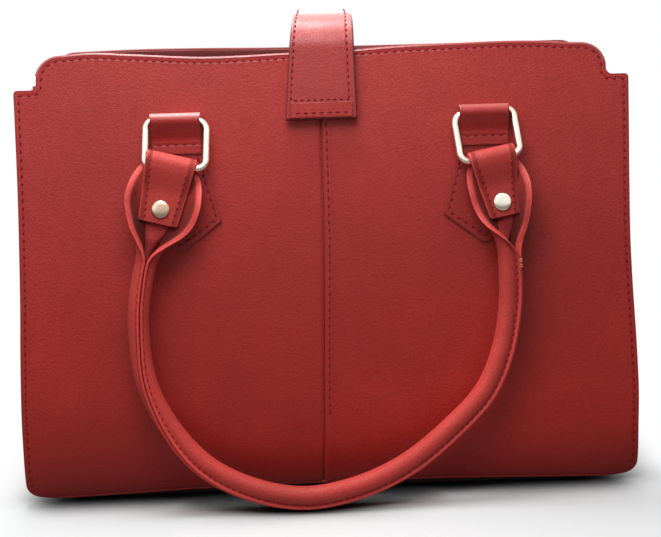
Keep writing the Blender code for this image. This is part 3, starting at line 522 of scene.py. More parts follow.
def thicken(made, thickness, offset=-1.0, edge=0.0004):
    """A wall of even thickness with small rounded edges."""
    wall = made.modifiers.new("wall", "SOLIDIFY")
    wall.thickness = thickness
    wall.offset = offset
    wall.use_even_offset = False
    if edge:
        soften(made, edge, 50)


def tube(path, first, second, section):
    """A section (u, v) carried along a path: path + u * first + v * second at each stop."""
    points = (path[:, None, :] + section[None, :, :1] * first[:, None, :]
              + section[None, :, 1:] * second[:, None, :])
    return points.reshape(-1, 3), pipe_faces(len(path), len(section))


def circle(radius, count):
    """Points (u, v) of a circle."""
    a = np.arange(count) * 2 * math.pi / count
    return radius * np.stack([np.cos(a), np.sin(a)], axis=1)


def turned(profile, steps):
    """A profile (radius, height) turned about Z, with both ends closed."""
    x, y = circle(1.0, steps).T
    radius, height = np.asarray(profile, float).T[..., None]
    points = np.stack(np.broadcast_arrays(radius * x, radius * y, height), axis=-1)
    return points.reshape(-1, 3), pipe_faces(len(radius), steps)


def thread(name, rows, body, surface, pitch=None):
    """Stitches along rows (points, outward directions): one bead of five rings of six points,
    placed by the directions along, across and outward of each stitch. A bead reaches a part of
    the pitch either way, is thickest in the middle and dips into the leather at its ends."""
    sizes = bpy.context.scene.tote_sizes
    pitch, wide = pitch or sizes.stitch_pitch, sizes.thread_width
    reach, flatness = 0.30 * pitch, 0.42
    t = np.array([-1.0, -0.72, 0.0, 0.72, 1.0])
    girth = np.array([0.35, 0.85, 1.0, 0.85, 0.35])
    rise = np.array([-0.45, 0.02, 0.14, 0.02, -0.45])
    round_bead = circle(1.0, 6)
    bead = np.stack(np.broadcast_arrays(
        t[:, None] * reach,
        girth[:, None] * round_bead[:, 0] * wide / 2,
        girth[:, None] * round_bead[:, 1] * wide * flatness + rise[:, None] * wide,
    ), axis=-1).reshape(-1, 3)
    bead_faces = np.vstack([grid_faces(5, 6, False, True), cap_faces(0, 6)[:, ::-1],
                            cap_faces(24, 6)])
    points, faces, count = [], [], 0
    for line, outs in rows:
        s = along(line)
        number = max(int(round(s[-1] / pitch)), 1)
        middle = (np.arange(number) + 0.5) * s[-1] / number
        run = unit(read_at(middle + reach, s, line) - read_at(middle - reach, s, line))
        side = unit(np.cross(read_at(middle, s, outs), run))
        up = np.cross(run, side)
        placed = (read_at(middle, s, line)[:, None] + bead[None, :, :1] * run[:, None]
                  + bead[None, :, 1:2] * side[:, None] + bead[None, :, 2:] * up[:, None])
        points.append(placed.reshape(-1, 3))
        start = count + np.arange(number)[:, None, None] * len(bead)
        faces.append((bead_faces[None] + start).reshape(-1, 4))
        count += number * len(bead)
    return put(name, np.vstack(points), np.vstack(faces), surface, body)


class Graph:
    """A material's nodes, added one by one with their inputs as numbers, colours or sockets."""

    def __init__(self, name):
        self.material = bpy.data.materials.new(name)
        self.material.use_nodes = True
        self.tree = self.material.node_tree
        self.tree.nodes.clear()

    def add(self, kind, inputs=None, **settings):
        node = self.tree.nodes.new("ShaderNode" + kind)
        for key, value in settings.items():
            setattr(node, key, value)
        for key, value in (inputs or {}).items():
            socket = node.inputs[key]
            if isinstance(value, bpy.types.NodeSocket):
                self.tree.links.new(value, socket)
            else:
                socket.default_value = value
        return node

    def place(self):
        return self.add("TexCoord").outputs["Object"]

    def stretched(self, place, scale):
        return self.add("Mapping", {"Vector": place, "Scale": scale}).outputs[0]

    def noise(self, place, scale, detail=3.0, roughness=0.55):
        node = self.add("TexNoise", {"Vector": place, "Scale": scale, "Detail": detail,
                                     "Roughness": roughness})
        return node.outputs["Fac"]

    def math(self, operation, a, b=0.0, c=0.0):
        return self.add("Math", {0: a, 1: b, 2: c}, operation=operation).outputs[0]

    def ramp(self, value, low, high, to_low=0.0, to_high=1.0):
        node = self.add("MapRange", {"Value": value, "From Min": low, "From Max": high,
                                     "To Min": to_low, "To Max": to_high},
                        interpolation_type="SMOOTHSTEP")
        return node.outputs["Result"]

    def mix(self, factor, a, b):
        return self.add("Mix", {0: factor, 6: a, 7: b}, data_type="RGBA").outputs[2]

    def layered(self, tone, *layers):
        """A tone mixed toward each layer's colour by the layer's value times its amount."""
        for value, amount, colour in layers:
            tone = self.mix(self.math("MULTIPLY", value, amount), tone, colour)
        return tone

    def summed(self, total, *parts):
        """A total with each part's value times its amount added to it."""
        for value, amount in parts:
            total = self.math("MULTIPLY_ADD", value, amount, total)
        return total

    def attribute(self, name):
        return self.add("Attribute", attribute_name=name).outputs["Fac"]

    def bump(self, height, distance=0.001, strength=1.0):
        node = self.add("Bump", {"Height": height, "Distance": distance, "Strength": strength})
        return node.outputs["Normal"]

    def surface(self, inputs):
        shader = self.add("BsdfPrincipled", inputs)
        self.add("OutputMaterial", {"Surface": shader.outputs[0]})
        return self.material


def shaded(colour, factor):
    """The same colour made darker or lighter."""
    return (*(min(c * factor, 1.0) for c in colour[:3]), 1.0)


def sheen_tinted(colour):
    """The same colour made paler and pinker, for the painted sheen toward the top."""
    return (colour[0] * 1.02, colour[1] + 0.030, colour[2] + 0.032, 1.0)


def leather(name, colour, roughness=0.46, grain=1.0, shine=0.28, pale=0.55, edge_shade=0.55):
    """Grained leather. Its colour drifts slowly and in small clouds, pales and turns pinker toward
    the top, a painted sheen, and darkens toward the floor, painted shade. The pebbled grain is a
    cell pattern of about 1 mm, bent by noise, with finer creases. Cut edges are smoother and
    shaded, the surface is drawn down along the stitching and darker there, painted shade in the
    groove, rubbed folds are smoother and paler, a painted highlight, and the leather's rough inner
    side is dark and dull, with painted shade added in the handles' troughs."""
    g = Graph(name)
    place = g.place()
    slow = g.ramp(g.noise(place, 9.0, 2.0), 0.34, 0.66)
    cloud = g.ramp(g.noise(place, 70.0, 4.0, 0.6), 0.3, 0.7)
    stir = g.add("TexNoise", {"Vector": place, "Scale": 300.0, "Detail": 2.0}).outputs["Color"]
    stir = g.add("VectorMath", {0: stir, 1: (0.0012, 0.0012, 0.0012)}, operation="MULTIPLY")
    bent = g.add("VectorMath", {0: place, 1: stir.outputs[0]}).outputs[0]
    cell = g.add("TexVoronoi", {"Vector": bent, "Scale": 780.0, "Randomness": 1.0,
                                "Smoothness": 0.35}, feature="SMOOTH_F1")
    pebble = g.ramp(cell.outputs["Distance"], 0.15, 0.75, 1.0, 0.0)
    crease = g.noise(place, 420.0, 5.0, 0.65)
    tone = g.mix(slow, shaded(colour, 0.86), shaded(colour, 1.12))
    height = g.add("SeparateXYZ", {0: place}).outputs[2]
    # Painted sheen: the colour pales and turns pinker toward the top, by the amount pale
    tone = g.mix(g.ramp(height, 0.02, 0.27, 0.0, pale), tone, sheen_tinted(colour))
    # Painted shade: darker toward the floor, on finishes whose pale is not 0
    tone = g.mix(g.ramp(height, 0.002, 0.045, 0.5 if pale else 0.0, 0.0), tone,
                 shaded(colour, 0.45))
    tone = g.layered(tone, (cloud, 0.22, shaded(colour, 0.72)))
    tone = g.mix(g.ramp(pebble, 0.0, 0.5, 0.22, 0.0), tone, shaded(colour, 0.5))
    cut = g.ramp(g.attribute("edge"), 0.0002, 0.0013, 1.0, 0.0)
    # Painted shade in the stitching grooves, with a bump that draws them down
    pull = g.ramp(g.attribute("stitch"), 0.0, 0.0013, 1.0, 0.0)
    flesh, worn = g.attribute("flesh"), g.attribute("worn")
    # Painted highlight: rubbed folds pale toward the highlight's pink
    tone = g.layered(tone, (cut, 0.55, shaded(colour, edge_shade)),
                     (pull, 0.22, shaded(colour, 0.5)), (flesh, 0.85, shaded(colour, 0.16)),
                     (worn, 0.6, HIGHLIGHT_PINK))
    height = g.summed(0.0, (pebble, 0.085 * grain), (crease, 0.11 * grain),
                      (g.noise(place, 26.0, 3.0), 0.35 * grain), (pull, -0.25))
    rough = g.summed(roughness - 0.05, (cloud, 0.10), (pebble, -0.05), (cut, -0.08),
                     (flesh, 0.35), (worn, -0.30))
    return g.surface({"Base Color": tone, "Roughness": rough, "Specular IOR Level": shine,
                      "Sheen Weight": 0.03, "Sheen Roughness": 0.45,
                      "Normal": g.bump(height, 0.001, 0.8)})


def thread_finish(name, colour):
    """Waxed thread: fine slanting strands across each stitch."""
    g = Graph(name)
    place = g.place()
    strands = g.add("TexWave", {"Vector": place, "Scale": 700.0, "Distortion": 1.5,
                                "Detail": 2.0}, bands_direction="DIAGONAL").outputs["Fac"]
    tone = g.mix(strands, shaded(colour, 0.75), shaded(colour, 1.2))
    tone = g.layered(tone, (g.noise(place, 120.0), 0.3, shaded(colour, 0.6)))
    return g.surface({"Base Color": tone, "Roughness": 0.7, "Specular IOR Level": 0.12,
                      "Normal": g.bump(g.math("MULTIPLY", strands, 0.06))})


def plated(name, colour, roughness=0.2):
    """Plated metal, polished, with slow unevenness and fine rubbed lines."""
    g = Graph(name)
    place = g.place()
    slow = g.noise(place, 90.0, 3.0)
    line = g.noise(g.stretched(place, (3.0, 1.0, 14.0)), 300.0, 4.0, 0.7)
    tone = g.mix(g.ramp(slow, 0.35, 0.7), shaded(colour, 1.0), shaded(colour, 0.88))
    rough = g.summed(roughness - 0.06, (line, 0.16))
    height = g.summed(0.0, (line, 0.006), (slow, 0.05))
    return g.surface({"Base Color": tone, "Metallic": 1.0, "Roughness": rough,
                      "Normal": g.bump(height, 0.001, 0.6)})


def woven(name, colour, pitch=0.0007, roughness=0.85):
    """Plain weave: two sets of threads as crossed sine waves, with slubs and slow fading. A
    wave texture of scale 1 has bands 0.314 wide, and every second thread is on top."""
    g = Graph(name)
    place = g.place()
    sets = [g.add("TexWave", {"Vector": place, "Scale": 0.314 / (2 * pitch), "Distortion": 0.6,
                              "Detail": 1.0}, bands_direction=axis).outputs["Fac"]
            for axis in ("X", "Z")]
    weave = g.math("MULTIPLY", sets[0], sets[1])
    slub = g.noise(g.stretched(place, (1.0, 1.0, 9.0)), 180.0, 3.0)
    slow = g.ramp(g.noise(place, 12.0), 0.3, 0.7)
    tone = g.mix(slow, shaded(colour, 0.85), shaded(colour, 1.1))
    tone = g.mix(g.ramp(weave, 0.0, 0.5, 0.5, 0.0), tone, shaded(colour, 0.5))
    tone = g.mix(g.ramp(slub, 0.5, 0.75, 0.0, 0.3), tone, shaded(colour, 1.25))
    return g.surface({"Base Color": tone, "Roughness": roughness, "Sheen Weight": 0.25,
                      "Sheen Roughness": 0.5, "Normal": g.bump(g.math("MULTIPLY", weave, 0.15))})


def pressed_board(name, colour):
    """Pressed fibre board: short fibres and specks."""
    g = Graph(name)
    place = g.place()
    fibre = g.noise(g.stretched(place, (1.0, 7.0, 4.0)), 120.0, 5.0, 0.7)
    speck = g.ramp(g.noise(place, 900.0, 2.0), 0.6, 0.7)
    tone = g.mix(fibre, shaded(colour, 0.7), shaded(colour, 1.3))
    tone = g.layered(tone, (speck, 0.5, shaded(colour, 1.8)))
    return g.surface({"Base Color": tone, "Roughness": 0.85,
                      "Normal": g.bump(g.math("MULTIPLY", fibre, 0.2))})


# The finishes: how each is made, which of the scene's colours it takes, and its numbers
# pale is the amount of painted sheen toward the top; where it is not 0 the leather also gets
# painted shade toward the floor
FINISHES = {
    "leather": (leather, "leather", {}),
    "handle": (leather, "handle_leather",
               {"roughness": 0.58, "shine": 0.25, "pale": 0.0, "edge_shade": 1.35}),
    "padding": (leather, "padding",
                {"roughness": 0.75, "grain": 0.6, "shine": 0.1, "pale": 0.0}),
    # The strap and tabs take a darker copy of the leather: painted shade
    "strap": (leather, "tab_leather",
              {"roughness": 0.44, "grain": 0.7, "shine": 0.45, "pale": 0.35}),
    "tab": (leather, "tab_leather",
            {"roughness": 0.46, "grain": 0.8, "shine": 0.36, "pale": 0.2}),
    "rim": (leather, "leather", {"roughness": 0.24, "grain": 0.2, "shine": 1.0}),
    "inside": (leather, "inside_leather", {"roughness": 0.6, "grain": 0.7, "shine": 0.2}),
    # The base is near black: painted shade under the bag
    "base": (leather, "base_leather", {"roughness": 0.6}),
    "thread": (thread_finish, "thread", {}),
    "fin_thread": (thread_finish, "fin_thread", {}),
    "tack": (thread_finish, "tack", {}),
    "gold": (plated, "metal", {"roughness": 0.26}),
    "rivet": (plated, "rivet", {"roughness": 0.3}),
    "magnet": (plated, "magnet", {"roughness": 0.28}),
    "lining": (woven, "lining", {}),
    # The cores are near black red: painted shade, so that the gap in the handles' fin reads as a
    # shadow line
    "core": (woven, "core", {"pitch": 0.0012}),
    "board": (pressed_board, "board", {}),
}


def finish(key):
    """One of the bag's finishes, made the first time that it is asked for."""
    maker, colour, numbers = FINISHES[key]
    name = f"tote_{key}"
    if name not in bpy.data.materials:
        maker(name, tuple(getattr(bpy.context.scene.tote_colours, colour)), **numbers)
    return bpy.data.materials[name]


def face_line():
    """The front panel's outer face seen from the side, from its bottom to its top, as (y, z):
    a cubic curve that swells to the belly, then a straight, leaning line."""
    def straight(z):
        return np.array([-(MOUTH_HALF_DEPTH + (CROWN_HEIGHT - z) * math.tan(PANEL_LEAN)), z])

    bottom = np.array([-BOTTOM_HALF_DEPTH, PANEL_BOTTOM - FOOT_BELOW])
    belly = straight(BELLY_HEIGHT)
    lower = bezier(bottom, bottom + FOOT_PULL, belly - BELLY_PULL * UP_FRONT[1:], belly, 90)
    return np.vstack([lower, straight(CROWN_HEIGHT + 0.006)])


FACE = face_line()


def face_y(z):
    """The face line's y at a height."""
    return np.interp(z, FACE[:, 1], FACE[:, 0])


def bottom_edge(x):
    """Height of a panel's bottom edge: an arc that rises in the middle."""
    return PANEL_BOTTOM + BOTTOM_ARCH * (1 - (x / HALF_WIDTH) ** 2)


def panel_wave(x, z):
    """How far the soft panel stands proud: a sum of slow sines that fades toward the sides, the
    bottom and the magnet."""
    height = bpy.context.scene.tote_sizes.wave_height
    wave = (0.55 * np.sin(25 * x + 9 * z + 1.1) * np.sin(19 * z + 0.5)
            + 0.30 * np.sin(47 * x - 17 * z + 2.2)
            + 0.25 * np.sin(31 * z + 0.8 + 11 * x))
    fade = smoothstep(HALF_WIDTH - np.abs(x), 0.002, 0.045) * smoothstep(z, 0.008, 0.050)
    fade = fade * (1 - np.exp(-(x**2 + (z - MAGNET_HEIGHT) ** 2) / MAGNET_REACH**2))
    return height * wave * fade


def lean(x, z):
    """How far a panel's point stands aside: the lean of the seam, fading out to the tabs, and
    that of the sides, fading out inward."""
    middle, left, right = (flow(z, LEAN[:, 0], LEAN[:, i]) for i in (1, 2, 3))
    side = np.where(x < 0, left, right) * smoothstep(np.abs(x), SIDE_LEAN_START, HALF_WIDTH)
    return middle * (1 - smoothstep(np.abs(x), 0.0, SEAM_LEAN_END)) + side


def sag(x, z):
    """How far the foot of a panel hangs down beside the middle: a product of two smooth steps."""
    return FOOT_SAG * smoothstep(np.abs(x), 0.05, 0.17) * (1 - smoothstep(z, 0.006, 0.06))


def panel_spot(x, z, side, seam=True):
    """Point and outward direction of a panel's face at x and z: the face line's point at that
    height, moved out by the wave, less the dip of the centre seam, exp(-(x / width) squared),
    plus the same curve for the ridge beside it, and moved aside by the lean and down by the sag.
    The top edge is moved up and down."""
    x, z = np.broadcast_arrays(np.asarray(x, float), np.asarray(z, float))
    near = 0.001
    slope = np.clip((face_y(z + near) - face_y(z - near)) / (2 * near), -1.0, 1.0)
    size = np.sqrt(1 + slope**2)
    out = np.stack([np.zeros_like(x), -1 / size, slope / size], axis=-1)
    move = panel_wave(x, z)
    if seam:
        depth = bpy.context.scene.tote_sizes.seam_depth
        move = move - depth * np.exp(-((x / SEAM_HALF_WIDTH) ** 2))
        move = move + RIDGE_HEIGHT * np.exp(-(((x - RIDGE_ASIDE) / RIDGE_HALF_WIDTH) ** 2))
    aside = lean(x, z) if seam else 0.0
    point = np.stack([x + aside, face_y(z), z - sag(x, z)], axis=-1) + out * move[..., None]
    edge = TOP_EDGE if side == "front" else BACK_TOP_EDGE
    rise = flow(x, edge[:, 0], edge[:, 1])
    fade = smoothstep(z, CROWN_HEIGHT - 0.046, CROWN_HEIGHT - 0.002)
    return point + (rise * fade)[..., None] * UP_FRONT, out


def corner_drop(over, radius):
    """How far a round corner has turned away where a line goes over its start."""
    over = np.clip(over, 0, radius)
    return radius - np.sqrt(radius**2 - over**2)


def panel_limits(x):
    """Lowest and highest point of a half panel at each x: the arc of the bottom edge with its
    round corner, and the top with its round crown corner, the fillet and the ledge."""
    crown = HALF_WIDTH - LEDGE_WIDTH
    low = bottom_edge(x) + corner_drop(x - (HALF_WIDTH - BOTTOM_CORNER), BOTTOM_CORNER)
    high = CROWN_HEIGHT - corner_drop(x - (crown - CROWN_CORNER), CROWN_CORNER)
    ledge = (LEDGE_HEIGHT + corner_drop(crown + LEDGE_FILLET - x, LEDGE_FILLET)
             - corner_drop(x - (HALF_WIDTH - LEDGE_CORNER), LEDGE_CORNER))
    return low, np.where(x <= crown, high, ledge)


def panel_columns():
    """The places across a half panel: close together at the seam and where an outline turns,
    with one on each side of the ledge's step and none nearer to the next than least."""
    turn = np.radians(np.linspace(6, 90, 15))
    crown = HALF_WIDTH - LEDGE_WIDTH
    seam_end, beside, least = 0.0056, 0.00004, 0.00006
    stops = np.concatenate([
        np.linspace(PIECE_GAP / 2, seam_end, 12), np.linspace(seam_end, crown - CROWN_CORNER, 62),
        crown - CROWN_CORNER + CROWN_CORNER * np.sin(turn[:-1]), [crown - beside, crown + beside],
        crown + LEDGE_FILLET * (1 - np.cos(turn[2:])),
        HALF_WIDTH - BOTTOM_CORNER * (1 - np.sin(turn)),
        HALF_WIDTH - LEDGE_CORNER * (1 - np.sin(turn[4:])),
    ])
    stops = np.unique(np.round(stops, 6))
    keep = np.concatenate([[True], np.diff(stops) > least])
    keep[-1] = True
    keep[-2] = HALF_WIDTH - stops[-2] > least
    return stops[keep]


def half_grid(x, low, high):
    """Grid (x, z) over a half panel: upright columns from its lowest to its highest point, with
    level rows between, so that only the lowest and highest rows follow the outline."""
    start, end = 0.034, 0.225
    foot = low + (start - low) * np.linspace(0, 1, 24)[:-1, None] ** 1.3
    level = np.repeat(np.linspace(start, end, 62)[:, None], len(x), axis=1)
    head = end + (high - end) * (1 - np.linspace(1, 0, 34)[1:, None] ** 1.2)
    z = np.vstack([foot, level, head])
    return np.stack([np.broadcast_to(x, z.shape), z], axis=-1)


def stitch_line():
    """The row of stitches inside a half panel's side, ledge and top."""
    side = HALF_WIDTH - STITCH_INSET
    step = side - LEDGE_WIDTH
    ledge, top = LEDGE_HEIGHT - STITCH_INSET, CROWN_HEIGHT - STITCH_INSET
    line = rounded([(side - 0.0012, 0.013, 0), (side, 0.020, 0.02), (side, ledge, 0.0015),
                    (step, ledge, 0.0055), (step, top, CROWN_CORNER - STITCH_INSET),
                    (0.0045, top, 0)], 10)
    return at_fractions(line, np.linspace(0, 1, 400))


def build_panels():
    """Both sides' half panels, each a grid that fills its outline, with their stitches, turned
    top edges and bottom edges. The centre seam's stitches run on the right half."""
    x = panel_columns()
    low, high = panel_limits(x)
    outline = np.vstack([np.column_stack([x, low]), np.column_stack([x, high])[::-1]])
    row = stitch_line()
    flat = half_grid(x, low, high)
    seam_row = np.column_stack([np.full(200, SEAM_ROW_ASIDE),
                                np.linspace(0.052, CROWN_HEIGHT - STITCH_INSET, 200)])
    for side in SIDES:
        stitched = []
        for label, sign in LABELS.items():
            name = label_of(side, label)
            rows = [row] if sign < 0 else [row, seam_row]
            points, _ = panel_spot(flat[..., 0] * sign, flat[..., 1], side)
            stitch = np.min([distance_to(flat, line) for line in rows], axis=0)
            panel = put(f"{side}_panel_{name}_leather", half_turn(points, side),
                        grid_faces(*flat.shape[:2]), finish("leather"), "bag",
                        [f"{side}_panel_{name}"], half_turn(TOWARD_FRONT, side),
                        {"edge": distance_to(flat, outline), "stitch": stitch})
            thicken(panel, LEATHER, -1, 0.0005)
            for line in rows:
                spots, outs = panel_spot(line[:, 0] * sign, line[:, 1], side)
                stitched.append((half_turn(spots, side), half_turn(outs, side)))
        thread(f"{side}_panel_thread", stitched, "bag", finish("thread"))
        build_piping(side)
        build_rim(side)


def spread_out(reach, count):
    """Places from -reach to reach, closer together toward both ends: the sine of even turns."""
    return reach * np.sin(np.linspace(-math.pi / 2, math.pi / 2, count))


def build_rim(side):
    """The turned top edge of a panel: a round section along its top and crown corners."""
    x = spread_out(HALF_WIDTH - LEDGE_WIDTH - RIM_INSET, 240)
    high = panel_limits(np.abs(x))[1] - 0.0008
    spots, outs = panel_spot(x, high, side, False)
    path = spots - outs * (LEATHER / 2)
    run = unit(np.gradient(path, axis=0))
    points, faces = tube(path, outs, np.cross(run, outs), circle(RIM_RADIUS, 12))
    # The back's turned top edge takes the darker inside leather: painted shade
    put(f"{side}_panel_rim", half_turn(points, side), faces,
        finish("rim" if side == "front" else "inside"), "bag", closed=True)


def build_piping(side):
    """The cord-like edge under a panel: a round section along the bottom edge's arc, thinner
    toward both ends."""
    reach = HALF_WIDTH - 0.0035
    x = spread_out(reach, 160)
    low = panel_limits(np.abs(x))[0]
    y = face_y(low) + LEATHER / 2 + 0.0004
    thin = 1 - 0.55 * smoothstep(np.abs(x), HALF_WIDTH - 2.2 * BOTTOM_CORNER, reach)
    z = low - sag(x, low) - PIPING_RADIUS * (2 * thin - 1)
    path = np.stack([x + lean(x, low), y, z], axis=1)
    points, faces = tube(path, thin[:, None] * (0, 1, 0), thin[:, None] * (0, 0, 1),
                         circle(PIPING_RADIUS, 12))
    put(f"{side}_piping", half_turn(points, side), faces, finish("leather"), "bag",
        [f"{side}_bottom_piping"], closed=True)


def build_facings():
    """The leather bands inside the mouth: a grid that fills each band's outline, behind the
    panel's inner face and with the panel's wave."""
    behind = LEATHER + PIECE_GAP + FACING_LEATHER / 2
    corner, below_crown = 0.013, 0.0006
    x, v = np.meshgrid(np.linspace(-1, 1, 140) * FACING_HALF_WIDTH, np.linspace(0, 1, 16))
    top = CROWN_HEIGHT - below_crown - corner_drop(np.abs(x) - (FACING_HALF_WIDTH - corner), corner)
    low = CROWN_HEIGHT - FACING_DEPTH * COS_LEAN
    z = low + (top - low) * v
    edge = np.minimum(top - z, FACING_HALF_WIDTH - np.abs(x)) + 0.0004
    for side in SIDES:
        points, outs = panel_spot(x, z, side, False)
        made = put(f"{side}_facing_leather", half_turn(points - outs * behind, side),
                   grid_faces(*x.shape), finish("inside"), "bag", [f"{side}_facing"],
                   half_turn(TOWARD_FRONT, side), {"edge": edge})
        thicken(made, FACING_LEATHER, 0.0, 0.0003)


def gusset_stops(count):
    """Heights of a gusset with its half depth, fold depth and outer edge at each. Its foot is
    tucked in behind the bottom corners."""
    inset = LEATHER + PIECE_GAP + GUSSET_LEATHER / 2
    heights = np.concatenate([np.linspace(0.0044, 0.020, 12)[:-1],
                              np.linspace(0.020, LEDGE_HEIGHT - 0.0005, count)])
    slope = np.gradient(FACE[:, 0], FACE[:, 1])
    size = np.sqrt(1 + slope**2)
    inside = np.stack([FACE[:, 0] + inset / size, FACE[:, 1] - inset * slope / size], axis=1)
    depths = np.interp(heights, inside[:, 1], -inside[:, 0])
    folds = np.clip(heights - GUSSET_FOLD_START, 0, None)
    folds = folds / (LEDGE_HEIGHT - GUSSET_FOLD_START) * GUSSET_FOLD
    over = BOTTOM_CORNER - (np.maximum(heights, PANEL_BOTTOM + 0.0004) - PANEL_BOTTOM)
    edges = HALF_WIDTH - corner_drop(over, BOTTOM_CORNER) - PIECE_GAP
    tuck = 1 - smoothstep(heights, 0.003, 0.0095)
    return heights, depths - 0.004 * tuck, folds, edges - 0.002 * tuck


def build_gussets():
    """The folded sides: at each height a line of eight points from the front seam into the fold
    and out to the back seam, its corners cut smooth, with a slow bulge and the panels' lean."""
    heights, depths, folds, edges = gusset_stops(90)
    bend, corner = edges - SEAM_FLANGE, 0.0018
    quarter = [(edges, depths), (bend + 0.002, depths),
               (bend - corner * folds / depths, depths - corner),
               (bend - folds * 0.93, depths * 0.07)]
    full = [(x, -y) for x, y in quarter] + quarter[::-1]
    section = softened(np.stack([np.stack(pair, axis=-1) for pair in full], axis=1), 3)
    count = section.shape[1]
    z = np.repeat(heights[:, None], count, axis=1)
    across = np.linspace(-1, 1, count)[None, :]
    puff = GUSSET_PUFF * smoothstep(1 - np.abs(across), 0.15, 0.5) * np.sin(34 * z + 3 * across)
    puff = puff * smoothstep(z, 0.02, 0.06)
    at_front = np.clip(0.5 - 0.5 * section[..., 1] / depths[:, None], 0, 1)
    wide = {-1: -flow(z, LEAN[:, 0], LEAN[:, 2]), 1: flow(z, LEAN[:, 0], LEAN[:, 3])}
    spread = np.linalg.norm(np.diff(section, axis=1), axis=2).cumsum(axis=1)
    spread = np.concatenate([np.zeros((len(heights), 1)), spread], axis=1)
    edge = np.minimum(spread, spread[:, -1:] - spread)
    marks = {"edge": np.minimum(edge, heights[-1] - z), "stitch": np.abs(edge - STITCH_INSET)}
    for label, sign in LABELS.items():
        stand = wide[sign] * at_front + wide[-sign] * (1 - at_front)
        points = np.stack([sign * (section[..., 0] + puff + stand), section[..., 1], z], axis=-1)
        made = put(f"gusset_{label}_leather", points, grid_faces(*z.shape), finish("leather"),
                   "bag", [f"gusset_{label}"], (sign, 0, 0), marks)
        thicken(made, GUSSET_LEATHER, 0.0, 0.0004)


def build_lining():
    """The cloth pouch: at each height a ring of six corners that follows the panels and the
    folded gussets, with soft waves and a floor. Each of its sides is the line that runs at the
    cloth's distance from the leather, and the corners are where two of them meet."""
    half_cloth = LINING_CLOTH / 2
    floor = LEATHER + PIECE_GAP + BOARD_THICKNESS + PIECE_GAP + half_cloth
    top = CROWN_HEIGHT - (FACING_DEPTH - LINING_OVERLAP) * COS_LEAN
    behind = LEATHER + PIECE_GAP + FACING_LEATHER + PIECE_GAP + half_cloth
    clear = GUSSET_LEATHER / 2 + 0.0009 + half_cloth
    heights, depths, folds, edges = gusset_stops(90)
    over_rim = BASE_RIM_HEIGHT + 0.0015
    stops = np.concatenate([[floor, floor + 0.003, over_rim], np.linspace(0.026, top, 80)])
    at_floor = stops < 0.012
    inside_rim = BOTTOM_HALF_DEPTH - 2 * LEATHER - 2 * PIECE_GAP - half_cloth
    front = np.where(stops < over_rim + 0.001, inside_rim - 0.0012 * at_floor,
                     -face_y(stops) - behind)
    depth, fold, edge = (np.interp(stops, heights, a) for a in (depths, folds, edges))
    bend = edge - SEAM_FLANGE - 0.002 * at_floor
    go = unit(np.column_stack([-fold, depth]))
    start = np.column_stack([bend, -depth]) + clear * go[:, ::-1] * (-1, 1)
    corner = start + go * ((-front - start[:, 1]) / go[:, 1])[:, None]
    middle = start + go * (-start[:, 1] / go[:, 1])[:, None]
    corner[:, 0] = np.minimum(corner[:, 0], bend - clear)
    cx, cy, mx = corner[:, 0], corner[:, 1], middle[:, 0]
    ring = np.stack([np.column_stack(pair) for pair in (
        (-cx, cy), (cx, cy), (mx, 0 * mx), (cx, -cy), (-cx, -cy), (-mx, 0 * mx))], axis=1)
    sides = []
    for i, count in enumerate((40, 12, 12, 40, 12, 12)):
        t = np.linspace(0, 1, count, endpoint=False)[None, :, None]
        sides.append(ring[:, i, None] * (1 - t) + ring[:, (i + 1) % 6, None] * t)
    x, y = np.moveaxis(np.concatenate(sides, axis=1), -1, 0)
    z = np.broadcast_to(stops[:, None], x.shape)
    wave = LINING_WAVE * np.sin(60 * x + 20 * z) * smoothstep(z, 0.02, 0.07)
    wave = wave * smoothstep(top - z, 0.0, 0.03) * (np.abs(y) > 0.75 * -cy[:, None])
    points = np.stack([x, y - np.sign(y) * np.abs(wave), z], axis=-1)
    faces = np.vstack([grid_faces(*x.shape, False, True), cap_faces(0, x.shape[1])])
    made = put("lining_pouch", points, faces, finish("lining"), "bag", ["lining"],
               closed=True)
    thicken(made, LINING_CLOTH, 0.0, 0.0)


def build_base():
    """The base panel's solid with softened corners, and the lining above it."""
    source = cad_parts["base_panel"]
    mesh = source.data.copy()
    mesh.name = "base_leather"
    mesh.transform(source.matrix_world)
    outward(mesh, join=True)
    mesh.materials.clear()
    # Near black: painted shade under the bag
    made = place_mesh("base_leather", mesh, finish("base"))
    soften(made, 0.0006, 35)
    finish_piece(made, "bag", ["base_panel"])
    build_lining()


def seat_point(side, label, across, out, down):
    """World place of a tab's point: across the face, out from it and down it, from the top of
    the fold, and moved with the panel's wave below the fold."""
    across, out, down = np.broadcast_arrays(across, out, down)
    x = RING_X[label] + across
    z = FOLD_Z + out * SIN_LEAN - down * COS_LEAN
    out = out + panel_wave(x, z) * smoothstep(down, 0.002, 0.020)
    start = np.stack([x, np.full_like(x, FOLD_Y), np.full_like(x, FOLD_Z)], axis=-1)
    return half_turn(start + out[..., None] * OUT_FRONT - down[..., None] * UP_FRONT, side)


